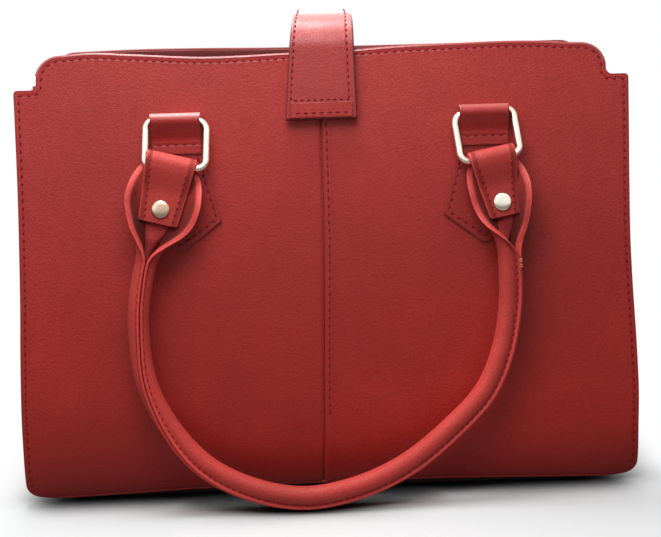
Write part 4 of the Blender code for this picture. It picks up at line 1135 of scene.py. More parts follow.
def build_tabs():
    """Each tab is one strip with a width at every stop of its line: up the panel from the point
    of its patch, round the ring's bar and down in front. The line runs (out, down) from the
    panel, where rest is its place on the panel and front that of its front layer. Its fold is
    rubbed smooth and has a painted highlight, the left one's more."""
    columns = 33
    inner = TAB_BORE + TAB_LEATHER / 2
    bar = TAB_LEATHER + TAB_BORE
    rest = PIECE_GAP / 2 + TAB_LEATHER / 2
    front = rest + TAB_LEATHER + PIECE_GAP
    down = np.concatenate([[PATCH_LENGTH, PATCH_LENGTH - 0.0006],
                           np.linspace(PATCH_LENGTH - 0.002, PATCH_SHOULDER, 14),
                           np.linspace(PATCH_SHOULDER, bar + 0.001, 34)[1:]])
    back = np.stack([np.full_like(down, rest), down], axis=1)
    a = np.radians(np.linspace(-6, 210, 34))
    fold = np.stack([np.maximum(bar - inner * np.cos(a), rest), bar - inner * np.sin(a)], axis=1)
    drop = np.array([(front + 0.0010, bar + 0.0092), (front, bar + 0.0120),
                     (front, TAB_FRONT_LENGTH)])
    last = softened(np.vstack([fold[-1:], drop]), 3)[1:]
    line = np.vstack([back, fold, last])
    is_back = np.arange(len(line)) < len(back)
    on_patch = is_back & (line[:, 1] >= TAB_FRONT_LENGTH)
    wide = np.interp(line[:, 1], [TAB_FRONT_LENGTH - 0.002, PATCH_SHOULDER, PATCH_LENGTH],
                     [TAB_WIDTH / 2, PATCH_WIDTH / 2, PATCH_TIP_HALF_WIDTH])
    wide = np.where(on_patch, wide, TAB_WIDTH / 2)[:, None]
    u = wide * np.linspace(-1, 1, columns)
    flat = np.stack([u, np.repeat(line[:, 1:], columns, axis=1)], axis=-1)
    is_back = is_back[:, None]
    slant = np.where(is_back & (line[:, 1:] > PATCH_SHOULDER), math.cos(PATCH_POINT_SLOPE), 1.0)
    no_end = 1.0 * is_back + 1.0 * (line[:, :1] < front - 0.0002)
    edge = np.minimum((wide - np.abs(u)) * slant, TAB_FRONT_LENGTH - line[:, 1:] + no_end)
    neck, shoulder = TAB_WIDTH / 2 - 0.0030, PATCH_WIDTH / 2 - 0.0031
    half_house = [(neck, TAB_FRONT_LENGTH + 0.0012, 0), (shoulder, PATCH_SHOULDER - 0.001, 0.0015)]
    point = (0, PATCH_LENGTH - 0.0040, 0.0005)
    house = rounded([*half_house, point, *((-x, y, radius) for x, y, radius in half_house[::-1])])
    house = at_fractions(house, np.linspace(0, 1, 200))
    cross_half, cross_down = TAB_WIDTH / 2 - 0.002, 0.0192
    cross = np.column_stack([np.linspace(-cross_half, cross_half, 60), np.full(60, cross_down)])
    stitch = np.where(is_back, distance_to(flat, house), distance_to(flat, cross))
    stitch = np.where(line[:, 1:] < 0.012, 1.0, stitch)
    worn = np.repeat(1 - smoothstep(line[:, 1:], *TAB_HIGHLIGHT_SPAN), columns, axis=1)
    for side in SIDES:
        stitched = []
        out = half_turn(OUT_FRONT, side)
        for label in LABELS:
            name = label_of(side, label)
            points = seat_point(side, label, u, line[:, :1], line[:, 1:])
            # The fold's smoothness and painted highlight, weaker on the right
            rubbed = worn if label == "left" else 0.3 * worn
            tab = put(f"{side}_tab_{name}_leather", points, grid_faces(*u.shape),
                      finish("tab"), "bag", [f"{side}_tab_{name}"], None,
                      {"edge": edge, "stitch": stitch, "worn": rubbed})
            thicken(tab, TAB_LEATHER, 0.0, 0.00045)
            for row, layer in ((house, rest), (cross, front)):
                spots = seat_point(side, label, row[:, 0], layer + TAB_LEATHER / 2, row[:, 1])
                stitched.append((spots, np.repeat(out[None], len(spots), axis=0)))
        thread(f"{side}_tab_thread", stitched, "bag", finish("thread"))


def ring_plane(side, label, across, down, forward):
    """World place in a ring's plane, from the middle of its upper bar. A ring hangs a little
    turned in its plane, about its middle or about its upper bar."""
    sizes = bpy.context.scene.tote_sizes
    turn = sizes.ring_turn_left if label == "left" else -sizes.ring_turn_right
    about = RING_DROP / 2 if label == "left" else RING_DROP * 0.1
    across, down, forward = np.broadcast_arrays(across, down, forward)
    x = across * math.cos(turn) - (down - about) * math.sin(turn)
    down = about + across * math.sin(turn) + (down - about) * math.cos(turn)
    y = BAR_Y - down * math.sin(RING_LEAN) - forward * math.cos(RING_LEAN)
    z = BAR_Z - down * math.cos(RING_LEAN) + forward * math.sin(RING_LEAN)
    return half_turn(np.stack([RING_X[label] + x, y, z], axis=-1), side)


def build_rings():
    """Each ring is a round wire along a rectangle with rounded corners."""
    half, radius = (RING_WIDTH - RING_WIRE) / 2, RING_CORNER - RING_WIRE / 2
    line = rounded([(-half, 0, radius), (half, 0, radius), (half, RING_DROP, radius),
                    (-half, RING_DROP, radius)], 12, True)
    line = at_fractions(np.vstack([line, line[:1]]), np.linspace(0, 1, 161)[:-1])
    run = unit(np.roll(line, -1, axis=0) - np.roll(line, 1, axis=0))
    wire = circle(RING_WIRE / 2, 20)
    across = line[:, :1] - run[:, 1:] * wire[:, 0]
    down = line[:, 1:] + run[:, :1] * wire[:, 0]
    faces = grid_faces(*across.shape, True, True)
    for side in SIDES:
        for label in LABELS:
            name = label_of(side, label)
            put(f"{side}_ring_{name}_wire", ring_plane(side, label, across, down, wire[:, 1]),
                faces, finish("gold"), f"{side}_{name}_ring", [f"{side}_ring_{name}"],
                closed=True)


def handle_line():
    """Middle line of the handle from bar to bar, as (x, drop), evenly spaced."""
    spacing = RING_X["right"] - RING_X["left"]
    points = [(RING_X["left"] - out, down) for out, down in LEFT_END]
    points += [(RING_X["left"] + u * spacing, v * HANDLE_DROP) for u, v in LOOP]
    points += [(RING_X["right"] + out, down) for out, down in reversed(RIGHT_END)]
    points = np.array(points)
    s = along(points)
    return at_fractions(flow(np.linspace(0, s[-1], 2400), s, points), np.linspace(0, 1, 1600))


def layer_offset(down, side):
    """How far a layer of the handle's end stands from the plane of the bar."""
    bar = HANDLE_BORE + HANDLE_LEATHER / 2
    close = (HANDLE_LEATHER + PIECE_GAP) / 2
    return side * (bar + (close - bar) * smoothstep(down, 0.001, 0.019))


def band_sections(flat, half, sweep, turn):
    """The leather band cut across its length, one closed ring (across, forward) a row: a flat
    back, arcs of the given sweep, turned-out edges, and half circles round the edges. Toward
    its edges the band is pared thinner. Also its middle line."""
    flat, half, sweep, turn = (np.asarray(a, float)[:, None] for a in (flat, half, sweep, turn))
    radius = (half - flat - EDGE_TURN) / sweep
    step = np.linspace(0, 1, 12)[None, :]
    a = sweep * step
    x = np.concatenate([flat * np.array([[0.0, 0.5]]), flat + radius * np.sin(a)], axis=1)
    v = np.concatenate([np.zeros((len(flat), 2)), radius * (1 - np.cos(a))], axis=1)
    heading = sweep + turn
    turned_out = EDGE_TURN * np.array([[0.34, 0.67, 1.0]])
    x = np.concatenate([x, x[:, -1:] + turned_out * np.cos(heading)], axis=1)
    v = np.concatenate([v, v[:, -1:] + turned_out * np.sin(heading)], axis=1)
    middle = np.stack([np.concatenate([-x[:, :0:-1], x], axis=1),
                       np.concatenate([v[:, :0:-1], v], axis=1)], axis=-1)
    run = unit(np.gradient(middle, axis=1))
    aside = np.stack([-run[..., 1], run[..., 0]], axis=-1)
    place = np.abs(np.linspace(-1, 1, middle.shape[1]))
    pared = np.interp(sweep, *zip(*PARED_EDGE))
    toward_edge = np.clip((place - PARED_FROM) / PARED_OVER, 0, 1)
    thick = HANDLE_LEATHER + (pared - HANDLE_LEATHER) * toward_edge
    thick = thick[:, :, None] / 2
    a = np.linspace(0, math.pi, EDGE_POINTS + 2)[None, 1:-1, None]
    outer, inner = middle - aside * thick, middle + aside * thick
    far = middle[:, -1, None] + thick[:, -1][:, None] * (
        -np.cos(a) * aside[:, -1, None] + np.sin(a) * run[:, -1, None])
    near = middle[:, 0, None] + thick[:, 0][:, None] * (
        np.cos(a) * aside[:, 0, None] - np.sin(a) * run[:, 0, None])
    return np.concatenate([outer, far, inner[:, ::-1], near], axis=1), middle


def band_numbers(distance, left):
    """The band's numbers at distances from its bar, at the left or right end."""
    both = [flow(distance, BAND[label][:, 0], BAND[label][:, 1:]) for label in LABELS]
    return np.where(left[:, None], *both)


def fold_turn(label):
    """Slope of a handle's fold round its bar."""
    sizes = bpy.context.scene.tote_sizes
    return sizes.fold_turn_left if label == "left" else -sizes.fold_turn_right


def handle_end(line, label):
    """One end's flap, from its tip up to the bar, then its fold round the bar: place, across,
    facing (x, forward, down) and the band's numbers at each cut."""
    turn = fold_turn(label)
    start = np.array([line[0 if label == "left" else -1, 0], 0, -END_LIFT[label]])
    side = np.array([math.cos(turn), 0, math.sin(turn)])
    drop = np.array([-math.sin(turn), 0, math.cos(turn)])
    down = np.concatenate([[FLAP_LENGTH, FLAP_LENGTH - 0.0004],
                           np.linspace(FLAP_LENGTH - 0.0015, 0.0008, 30)])
    half = FOLD_HALF[label] + (FLAP_HALF[label] - FOLD_HALF[label]) * down / FLAP_LENGTH
    half[:2] -= (0.0007, 0.0002)
    flap = start + drop * down[:, None] + FORWARD * layer_offset(down, 1)[:, None]
    a = np.radians(np.linspace(0, 180, 26))[:-1, None]
    around = np.cos(a) * FORWARD - np.sin(a) * drop
    fold = start + (HANDLE_BORE + HANDLE_LEATHER / 2) * around
    half = np.concatenate([half, np.full(len(fold), FOLD_HALF[label])])
    numbers = np.stack([half * FLAT_PART, half, 0.02 + 0 * half, 0 * half], axis=1)
    return (np.vstack([flap, fold]), np.broadcast_to(-LABELS[label] * side, (len(half), 3)),
            np.vstack([np.broadcast_to(-FORWARD, flap.shape), -around]), numbers)


def handle_stations():
    """Where the band is cut, from one flap to the other: place, across, facing (x, forward,
    down), the band's numbers, how far the cut is from its end's bar, and 1 at the left end.
    Near a bar a cut has its fold's width, slope and lift and its back stands behind the bar.
    Further on it lies square to the line, turned by the twist, with its back on the tube."""
    line = handle_line()
    s_all = along(line)
    length = s_all[-1]
    stops = [v * length for v, _ in TWIST_FROM_LEFT] + [length - v for v, _ in TWIST_FROM_RIGHT]
    angles = [angle for _, angle in TWIST_FROM_LEFT + TWIST_FROM_RIGHT]
    reach = BAND["left"][-1, 0]
    near = np.linspace(0, reach, 64)[:-1]
    middle = np.linspace(reach, length - reach * RIGHT_STRETCH, 260)
    s = np.concatenate([near, middle, length - (near * RIGHT_STRETCH)[::-1]])
    left = s < length / 2
    distance = np.where(left, s, (length - s) / RIGHT_STRETCH)
    place = read_at(s, s_all, line)
    run = unit(read_at(s, s_all, unit(np.gradient(line, axis=0))))
    end = np.where(left, 1.0, -1.0)
    numbers = band_numbers(distance, left)
    fold = np.where(left, FOLD_HALF["left"] - BAND["left"][0, 2],
                    FOLD_HALF["right"] - BAND["right"][0, 2])
    fold = (fold * (1 - smoothstep(distance, *WIDTH_BLEND)))[:, None]
    numbers[:, :2] += fold * (FLAT_PART, 1.0)
    own = np.arctan2(-run[:, 0] * end, run[:, 1] * end)
    turn = np.where(left, fold_turn("left"), fold_turn("right"))
    turn = turn + (own - turn) * smoothstep(distance, *SLOPE_BLEND)
    across = np.stack([np.cos(turn), 0 * turn, np.sin(turn)], axis=1) * end[:, None]
    twist = np.radians(flow(s, stops, angles))[:, None]
    facing = np.cos(twist) * FORWARD - np.sin(twist) * across
    across = np.cos(twist) * across + np.sin(twist) * FORWARD
    back = layer_offset(distance, -1)
    back = back + (TUBE_FORWARD - TUBE_RADIUS - back) * smoothstep(distance, *TUBE_AT)
    lift = np.where(left, END_LIFT["left"], END_LIFT["right"])
    lift = lift * (1 - smoothstep(distance, *LIFT_BLEND))
    centre = np.stack([place[:, 0], back + TUBE_RADIUS, place[:, 1] - lift], axis=1)
    body = (centre - TUBE_RADIUS * facing, across, facing, numbers)
    first = handle_end(line, "left")
    last = [part[::-1] for part in handle_end(line, "right")]
    parts = [np.concatenate(part) for part in zip(first, body, last)]
    flaps = np.zeros(len(first[0]))
    distance = np.concatenate([flaps, distance, flaps])
    left = np.concatenate([flaps + 1, left, flaps])
    return parts, distance, left


def to_world(side, points):
    """From the handle's plane (x, forward, down) to the world."""
    cos, sin = math.cos(HANDLE_LEAN), math.sin(HANDLE_LEAN)
    forward = points[..., 1] + HANDLE_FORWARD
    y = LOW_BAR_Y - forward * cos - points[..., 2] * sin
    z = LOW_BAR_Z + forward * sin - points[..., 2] * cos
    return half_turn(np.stack([points[..., 0], y, z], axis=-1), side)


def build_handles():
    """Each handle is one band carried from flap to flap: flat round the bar, then an open
    trough, then a closed tube whose two edges stand out together as a stitched fin. The leather's
    rough inner side shows dark in the troughs, deepened by painted shade, and the leather round
    them has painted shade."""
    (place, across, facing, numbers), distance, left = handle_stations()
    rings, middle = band_sections(*numbers.T)
    spots = place[:, None] + rings[..., :1] * across[:, None] + rings[..., 1:] * facing[:, None]
    part = np.abs(np.linspace(-1, 1, middle.shape[1]))
    from_edge = (1 - part)[None] * numbers[:, 1:2]
    round_edge = np.zeros((len(spots), EDGE_POINTS))
    # Painted shade: the inner side darker deeper into the trough, and the leather and its edges
    # round the troughs darker
    inner = (1 - smoothstep(part, *FLESH_ENDS))[None] * (distance > 0)[:, None]
    inner = inner * (0.65 + 0.5 * smoothstep(distance, *TROUGH_SHADE_GROWS))[:, None]
    dim = (TROUGH_SHADE * (1 - smoothstep(distance, *TROUGH_SHADE_ENDS)))[:, None]
    dim_edge = np.repeat(4 * dim * (distance > 0)[:, None], EDGE_POINTS, axis=1)
    marks = {
        "edge": np.concatenate([from_edge, round_edge, from_edge, round_edge], axis=1),
        "flesh": np.concatenate([dim * (1 + 3 * smoothstep(part, 0.68, 0.88)), dim_edge, inner,
                                 dim_edge], axis=1),
    }
    for side in SIDES:
        put(f"{side}_handle_leather", to_world(side, spots), pipe_faces(*spots.shape[:2]),
            finish("handle"), f"{side}_carry_handle", [f"{side}_handle_cover"],
            None, marks, closed=True)
        build_handle_thread(side, place, across, facing, numbers, middle, distance, left)
        build_padding_ends(side, place, across, facing, distance, left)
        build_rivets(side)


def build_handle_thread(side, place, across, facing, numbers, middle, distance, left):
    """Rows of stitches along both faces of the fin and both sides of the flaps, and a few
    short tacks of orange thread over the fin where the right end closes."""
    body = f"{side}_carry_handle"

    def row(at, spot, way):
        """A row through the cuts at, from their places and outward directions."""
        start = to_world(side, spot[at])
        return start, to_world(side, spot[at] + way[at]) - start

    def on_band(index, push):
        """The band's middle line at an index, pushed out of its outer face."""
        run = unit(middle[:, index + 1] - middle[:, index - 1])
        out = np.stack([run[:, 1], -run[:, 0]], axis=1)
        flat = middle[:, index] + out * push
        return (place + flat[:, :1] * across + flat[:, 1:] * facing,
                out[:, :1] * across + out[:, 1:] * facing)

    closed = np.flatnonzero(distance > FIN_START)
    rows = [row(closed, *on_band(index, HANDLE_EDGE / 2 + 0.0001))
            for index in (2, middle.shape[1] - 3)]
    count = len(place)
    for at in (np.arange(2, 30), np.arange(count - 30, count - 2)):
        for sign in (-1, 1):
            spot = (place - facing * (HANDLE_LEATHER / 2 + 0.00005)
                    + sign * across * (numbers[:, 1:2] - FLAP_ROW_INSET))
            rows.append(row(at, spot, -facing))
    thread(f"{side}_handle_thread", rows, body, finish("fin_thread"), HANDLE_ROW_PITCH)

    at = np.flatnonzero((left == 0) & (distance > TACKS_AT[0]) & (distance < TACKS_AT[1]))
    tacks = []
    line = np.linspace(-TACK_HALF, TACK_HALF, 9)[:, None]
    for k in at[np.round(np.linspace(0, len(at) - 1, 6)).astype(int)]:
        rise = middle[k, -1, 1] + 0.0010 - 0.45 * line**2 / TACK_HALF
        spot = place[k] + line * across[k] + rise * facing[k]
        tacks.append(row(slice(None), spot, np.repeat(facing[k][None], len(line), axis=0)))
    thread(f"{side}_handle_tack", tacks, body, finish("tack"), TACK_PITCH)


def build_padding_ends(side, place, across, facing, distance, left):
    """The padding's ends on the floor of both troughs: flat ridges that narrow toward the tube,
    an ellipse carried along the trough's floor."""
    for label, here in (("left", left == 1), ("right", left == 0)):
        widest = PADDING_HALF[label]
        at = np.flatnonzero(here & (distance > PADDING_AT[0]) & (distance < PADDING_AT[1]))
        half = widest * smoothstep(distance[at], *PADDING_WIDENS)
        half = half + (PADDING_TIP_HALF - widest) * smoothstep(distance[at], *PADDING_NARROWS)
        high = 0.0002 + 0.0030 * smoothstep(distance[at], *PADDING_RISES)
        path = place[at] + facing[at] * (HANDLE_LEATHER / 2)
        points, faces = tube(path, across[at] * half[:, None], facing[at] * high[:, None],
                             circle(1.0, 14))
        put(f"{side}_handle_padding_{label_of(side, label)}", to_world(side, points), faces,
            finish("padding"), f"{side}_carry_handle", closed=True)


def build_rivets(side):
    """A low domed cap in front and a flat one behind, turned about the rivet's axis."""
    under = HANDLE_LEATHER + PIECE_GAP
    a = np.linspace(0.02, math.pi / 2, 14)
    rise = RIVET_CAP_HEIGHT - RIVET_CAP_RIM
    dome = np.stack([RIVET_CAP_RADIUS * np.sin(a), under + RIVET_CAP_RIM + rise * np.cos(a)], 1)
    profile = [*dome, (RIVET_CAP_RADIUS, under + 0.0003), (RIVET_CAP_RADIUS - 0.0002, under),
               (RIVET_PIN_RADIUS, under), (RIVET_PIN_RADIUS, -under),
               (RIVET_BACK_RADIUS, -under), (RIVET_BACK_RADIUS, -under - 0.0006),
               (RIVET_BACK_RADIUS - 0.0005, -under - 0.0010), (0.0001, -under - 0.0010)]
    points, faces = turned(profile, 36)
    for label in LABELS:
        turn = fold_turn(label)
        name = label_of(side, label)
        start = LEFT_END[0][0] if label == "left" else -RIGHT_END[0][0]
        x = RING_X[label] - start - math.sin(turn) * RIVET_DROP
        drop = math.cos(turn) * RIVET_DROP - END_LIFT[label]
        place = np.stack([x + points[:, 0], points[:, 2], drop + points[:, 1]], axis=1)
        put(f"{side}_rivet_{name}", to_world(side, place), faces,
            finish("rivet" if label == "left" else "gold"), f"{side}_carry_handle",
            [f"{side}_handle_rivet_{name}"], closed=True)


def strap_line():
    """The closing strap's outer leather seen from the side, as (y, z): its bends at the back
    and at the front, the way up to each, and the cubic curve over the mouth between them."""
    near = PIECE_GAP + STRAP_LEATHER / 2
    off = MAGNET_STACK + STRAP_LINING + PIECE_GAP + STRAP_LEATHER / 2
    front_up, mirror = UP_FRONT[1:], np.array([-1, 1])
    back_up = front_up * mirror
    back = np.array([MOUTH_HALF_DEPTH, CROWN_HEIGHT]) + OUT_FRONT[1:] * mirror * near
    front = np.array([-MOUTH_HALF_DEPTH, CROWN_HEIGHT]) + OUT_FRONT[1:] * off
    pull = (STRAP_RISE - STRAP_LEATHER / 2) / (0.75 * COS_LEAN)
    arch = bezier(back, back + back_up * pull, front + front_up * pull, front, 120)
    return back, back_up, front, front_up, arch


def strap_sheet(line, half_widths):
    """Grid of points across a strap: its line (y, z) with a width of its own at each stop."""
    x = half_widths[:, None] * np.linspace(-1, 1, STRAP_COLUMNS)
    y, z = (np.repeat(line[:, i:i + 1], STRAP_COLUMNS, axis=1) for i in (0, 1))
    return np.stack([x, y, z], axis=-1)


def sideways(line, distance):
    """A line moved to its left by a distance."""
    run = unit(np.gradient(line, axis=0))
    return line + distance * np.stack([-run[:, 1], run[:, 0]], axis=1)


def build_strap():
    """The strap's leathers and threads. Outer leather, lining and side rows are each in two
    parts, of which one runs from the back hinge and one to the front hinge."""
    back, back_up, front, front_up, arch = strap_line()
    s = along(arch)
    split, tail = STRAP_SPLIT * s[-1], s[-1] + STRAP_DROP
    band_start, band_end = tail - END_BAND_LENGTH, tail - 0.0006
    bends = [0, 0.5 * s[-1], s[-1], tail]
    half_widths = [STRAP_BACK_HALF_WIDTH, STRAP_ARCH_HALF_WIDTH, STRAP_BEND_HALF_WIDTH,
                   STRAP_TIP_HALF_WIDTH]
    outer = STRAP_LEATHER / 2
    hinges = {("bag", "strap"): (back, back_up), ("strap", "strap_tongue"): (front, -front_up)}
    at_back, at_front = hinges

    def part(start, end, count):
        """Stops between two distances from the back bend, and the strap's line, half width and
        place aside at each."""
        stops = np.linspace(start, end, count)
        before = back + back_up * np.minimum(stops, 0)[:, None]
        after = front - front_up * np.maximum(stops - s[-1], 0)[:, None]
        line = np.where((stops < 0)[:, None], before, read_at(stops, s, arch))
        line = np.where((stops > s[-1])[:, None], after, line)
        aside = flow(stops, bends, STRAP_ASIDE)
        return stops, line, np.interp(stops, bends, half_widths), aside

    def bend(made, bodies):
        """Bakes a piece's place into its points."""
        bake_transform(made)

    def sheet(name, start, end, count, shift, thickness, key, inset, nodes, bodies):
        """A leather between two distances, shifted off the strap's line and inset at its sides.
        It is rubbed smooth and has a painted highlight where the arch comes down to the front."""
        stops, line, wide, aside = part(start, end, count)
        wide = (wide - inset)[:, None]
        points = strap_sheet(sideways(line, shift), wide[:, 0])
        from_side = wide - np.abs(points[..., 0])
        row_inset = np.where(points[..., 0] < 0, *STRAP_ROW_INSET)
        from_end = (end - stops)[:, None] if bodies == at_front else 1.0
        # Smoothness and painted highlight where the arch comes down to the front
        worn = smoothstep(stops / s[-1], *STRAP_HIGHLIGHT_SPAN[:2])
        worn = worn * (1 - smoothstep(stops / s[-1], *STRAP_HIGHLIGHT_SPAN[2:]))
        marks = {"edge": np.minimum(from_side, from_end), "stitch": np.abs(from_side - row_inset),
                 "worn": np.repeat(0.6 * worn[:, None], STRAP_COLUMNS, axis=1)}
        points[..., 0] += aside[:, None]
        made = put(name, points, grid_faces(count, STRAP_COLUMNS), finish(key), marks=marks)
        thicken(made, thickness, 0.0, 0.0004)
        bend(made, bodies)
        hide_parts(*nodes)

    def side_rows(name, start, end, count, bodies, more=()):
        """Both side rows of stitches between two distances, on the strap's outer face, and more
        rows."""
        stops, line, wide, aside = part(start, end, count)
        line = sideways(line, -outer)
        run = np.gradient(line, axis=0)
        out = np.stack([0 * stops, run[:, 1], -run[:, 0]], axis=1)
        rows = [(np.column_stack([aside + sign * (wide - inset), line]), out)
                for sign, inset in zip((-1, 1), STRAP_ROW_INSET)]
        bend(thread(name, [*rows, *more], None, finish("thread"), STRAP_ROW_PITCH), bodies)

    def row_across(stop, inset, lift):
        """A row of stitches across the strap's front."""
        _, line, _, aside = part(stop, stop + 0.0001, 2)
        x = np.linspace(-1, 1, 40) * (STRAP_TIP_HALF_WIDTH - inset)
        spots = np.column_stack([aside[0] + x, np.repeat(line[:1], len(x), axis=0)])
        return spots + OUT_FRONT * lift, np.repeat(OUT_FRONT[None], len(x), axis=0)

    below = outer + PIECE_GAP + STRAP_LINING / 2
    sheet("strap_back_leather", -STRAP_ANCHOR_LENGTH, split, 70, 0.0, STRAP_LEATHER, "strap", 0.0,
          ["strap_anchor", "strap_outer"], at_back)
    sheet("strap_front_leather", split, tail, 90, 0.0, STRAP_LEATHER, "strap", 0.0,
          ["strap_outer", "strap_tongue_outer"], at_front)
    sheet("strap_back_lining", 0.004, split, 40, below, STRAP_LINING, "inside", 0.0002,
          ["strap_lining"], at_back)
    sheet("strap_front_lining", split, tail + 0.0004, 90, below, STRAP_LINING, "inside", -0.0005,
          ["strap_lining", "strap_tongue_lining"], at_front)

    up = outer + PIECE_GAP * 0.3 + END_BAND_LEATHER / 2
    stops, line, wide, aside = part(band_start, band_end, 16)
    wide = wide - END_BAND_INSET
    points = strap_sheet(sideways(line, -up), wide)
    edge = np.minimum(wide[:, None] - np.abs(points[..., 0]),
                      np.minimum(stops - band_start, band_end - stops)[:, None])
    points[..., 0] += aside[:, None]
    band = put("strap_end_leather", points, grid_faces(16, STRAP_COLUMNS), finish("leather"),
               "strap_tongue", ["strap_end_band"], marks={"edge": edge})
    thicken(band, END_BAND_LEATHER, 0.0, 0.0003)

    side_rows("strap_front_thread", split, band_start - 0.0010, 90, at_front,
              [row_across(band_start - 0.0017, 0.0035, outer)])
    thread("strap_end_thread", [row_across(band_start + 0.0062, 0.0045, up + END_BAND_LEATHER / 2)],
           "strap_tongue", finish("thread"), STRAP_END_ROW_PITCH)
    side_rows("strap_back_thread", -STRAP_ANCHOR_LENGTH + 0.003, split, 80, at_back)


def dress_nodes():
    """Finishes of the solids whose own shape stays."""
    for node, key in (("panel_magnet", "magnet"), ("strap_magnet", "magnet"),
                      ("front_handle_core", "core"), ("back_handle_core", "core"),
                      ("base_board", "board")):
        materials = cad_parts[node].data.materials
        materials.clear()
        materials.append(finish(key))


def floor_finish(colour):
    """A pale floor. Seen by the camera it has a painted contact shadow, darker in the closed gap
    under the bag, and fades into the white behind, and what bounces off it onto the bag is less."""
    g = Graph("stage_floor")
    place = g.place()
    seen = g.add("LightPath").outputs["Is Camera Ray"]
    tone = g.layered(colour, (g.noise(place, 3.0), 0.03, (1, 1, 1, 1)))
    # Painted contact shadow: near black where ambient occlusion finds the floor closed in
    closed = g.add("AmbientOcclusion", {"Distance": 0.032}, samples=16)
    tone = g.mix(g.ramp(closed.outputs["AO"], 0.36, 0.97), (0.015, 0.017, 0.017, 1), tone)
    near = g.add("BsdfDiffuse", {"Color": tone})
    bounce = g.add("BsdfDiffuse", {"Color": (0.28, 0.28, 0.29, 1)})
    white = g.add("Emission", {"Color": (1, 1, 1, 1), "Strength": 1.0})
    spot = g.add("SeparateXYZ", {0: place})
    aside = g.math("ABSOLUTE", spot.outputs[0])
    beside = g.math("MULTIPLY", g.ramp(aside, 0.17, 0.23), g.ramp(spot.outputs[1], -0.13, -0.02))
    ahead = g.math("SUBTRACT", -0.25, spot.outputs[1])
    far = g.math("MAXIMUM", g.math("MAXIMUM", aside, spot.outputs[1]), ahead)
    fade = g.math("MAXIMUM", beside, g.ramp(far, 0.16, 0.38))
    shown = g.add("MixShader", {0: fade, 1: near.outputs[0], 2: white.outputs[0]})
    both = g.add("MixShader", {0: seen, 1: bounce.outputs[0], 2: shown.outputs[0]})
    g.add("OutputMaterial", {"Surface": both.outputs[0]})
    return g.material


def build_world():
    """White behind the bag for the camera and in the metal, and a weak even light on the rest."""
    world = bpy.data.worlds.new("stage_light")
    world.use_nodes = True
    bpy.context.scene.world = world
    nodes, links = world.node_tree.nodes, world.node_tree.links
    background = nodes["Background"]
    background.inputs["Color"].default_value = (1, 1, 1, 1)
    path = nodes.new("ShaderNodeLightPath")
    either = nodes.new("ShaderNodeMath")
    either.operation = "MAXIMUM"
    strength = nodes.new("ShaderNodeMapRange")
    strength.inputs["To Min"].default_value = 0.18
    strength.inputs["To Max"].default_value = 1.0
    links.new(path.outputs["Is Camera Ray"], either.inputs[0])
    links.new(path.outputs["Is Glossy Ray"], either.inputs[1])
    links.new(either.outputs[0], strength.inputs["Value"])
    links.new(strength.outputs["Result"], background.inputs["Strength"])


def build_lights():
    """Soft lights: name, place, what it points at, size and power."""
    for name, place, target, size, power in (
            ("stage_over", (-0.12, 0.03, 0.80), (-0.09, 0.0, 0.2), (0.28, 0.42), 6.0),
            ("stage_top", (-0.07, -0.33, 0.62), (-0.02, -0.03, 0.20), (0.35, 0.25), 2.2),
            ("stage_left", (-1.1, -1.3, 0.80), (0, 0, 0.16), (0.9, 0.9), 3.3),
            ("stage_back", (-0.05, 0.75, 0.62), (-0.03, 0, 0.28), (0.7, 0.3), 1.3)):
        light = bpy.data.lights.new(name, "AREA")
        light.shape = "RECTANGLE"
        light.size, light.size_y = size
        light.energy = power
        made = bpy.data.objects.new(name, light)
        bpy.context.scene.collection.objects.link(made)
        turn = (Vector(target) - Vector(place)).to_track_quat("-Z", "Y").to_matrix().to_4x4()
        made.matrix_world = Matrix.Translation(place) @ turn


def build_camera():
    """The camera that sees the bag as the photo does: turned left (yaw), down (pitch) and over
    (roll), with a focal length in pixels of a picture of that width."""
    place = (-0.0268, -0.7834, 0.2951)
    yaw, pitch, roll = (math.radians(angle) for angle in (-2.16, 11.66, -1.57))
    focal_length, picture_width = 1201.7, 661
    ahead = Vector((-math.sin(yaw) * math.cos(pitch), math.cos(yaw) * math.cos(pitch),
                    -math.sin(pitch)))
    level = Vector((math.cos(yaw), math.sin(yaw), 0))
    over = level.cross(ahead)
    right = math.cos(roll) * level + math.sin(roll) * over
    up = -math.sin(roll) * level + math.cos(roll) * over
    data = bpy.data.cameras.new("photo_view")
    data.sensor_width = 36.0
    data.lens = focal_length * data.sensor_width / picture_width
    camera = bpy.data.objects.new("photo_view", data)
    bpy.context.scene.collection.objects.link(camera)
    turn = Matrix((right, up, -ahead)).transposed().to_4x4()
    camera.matrix_world = Matrix.Translation(place) @ turn
    bpy.context.scene.camera = camera


def build_stage():
    """Floor, world, lights and camera."""
    scene = bpy.context.scene
    x, y = np.meshgrid(np.linspace(-4, 4, 9), np.linspace(-4, 4, 9))
    floor = put("stage_floor", np.stack([x, y, 0 * x], axis=-1), grid_faces(9, 9),
                floor_finish((*scene.tote_colours.floor, 1.0)), out=(0, 0, 1))
    build_world()
    build_lights()
    build_camera()
    scene.view_settings.view_transform = "Standard"


def colour_property(name, default, description):
    return bpy.props.FloatVectorProperty(name=name, description=description, default=default,
                                         subtype="COLOR", size=3, min=0.0, max=1.0)


def length_property(name, default, least, most, description):
    return bpy.props.FloatProperty(name=name, description=description, default=default,
                                   min=least, max=most, unit="LENGTH")


def turn_property(name, degrees, description):
    return bpy.props.FloatProperty(name=name, description=description,
                                   default=math.radians(degrees), unit="ROTATION")


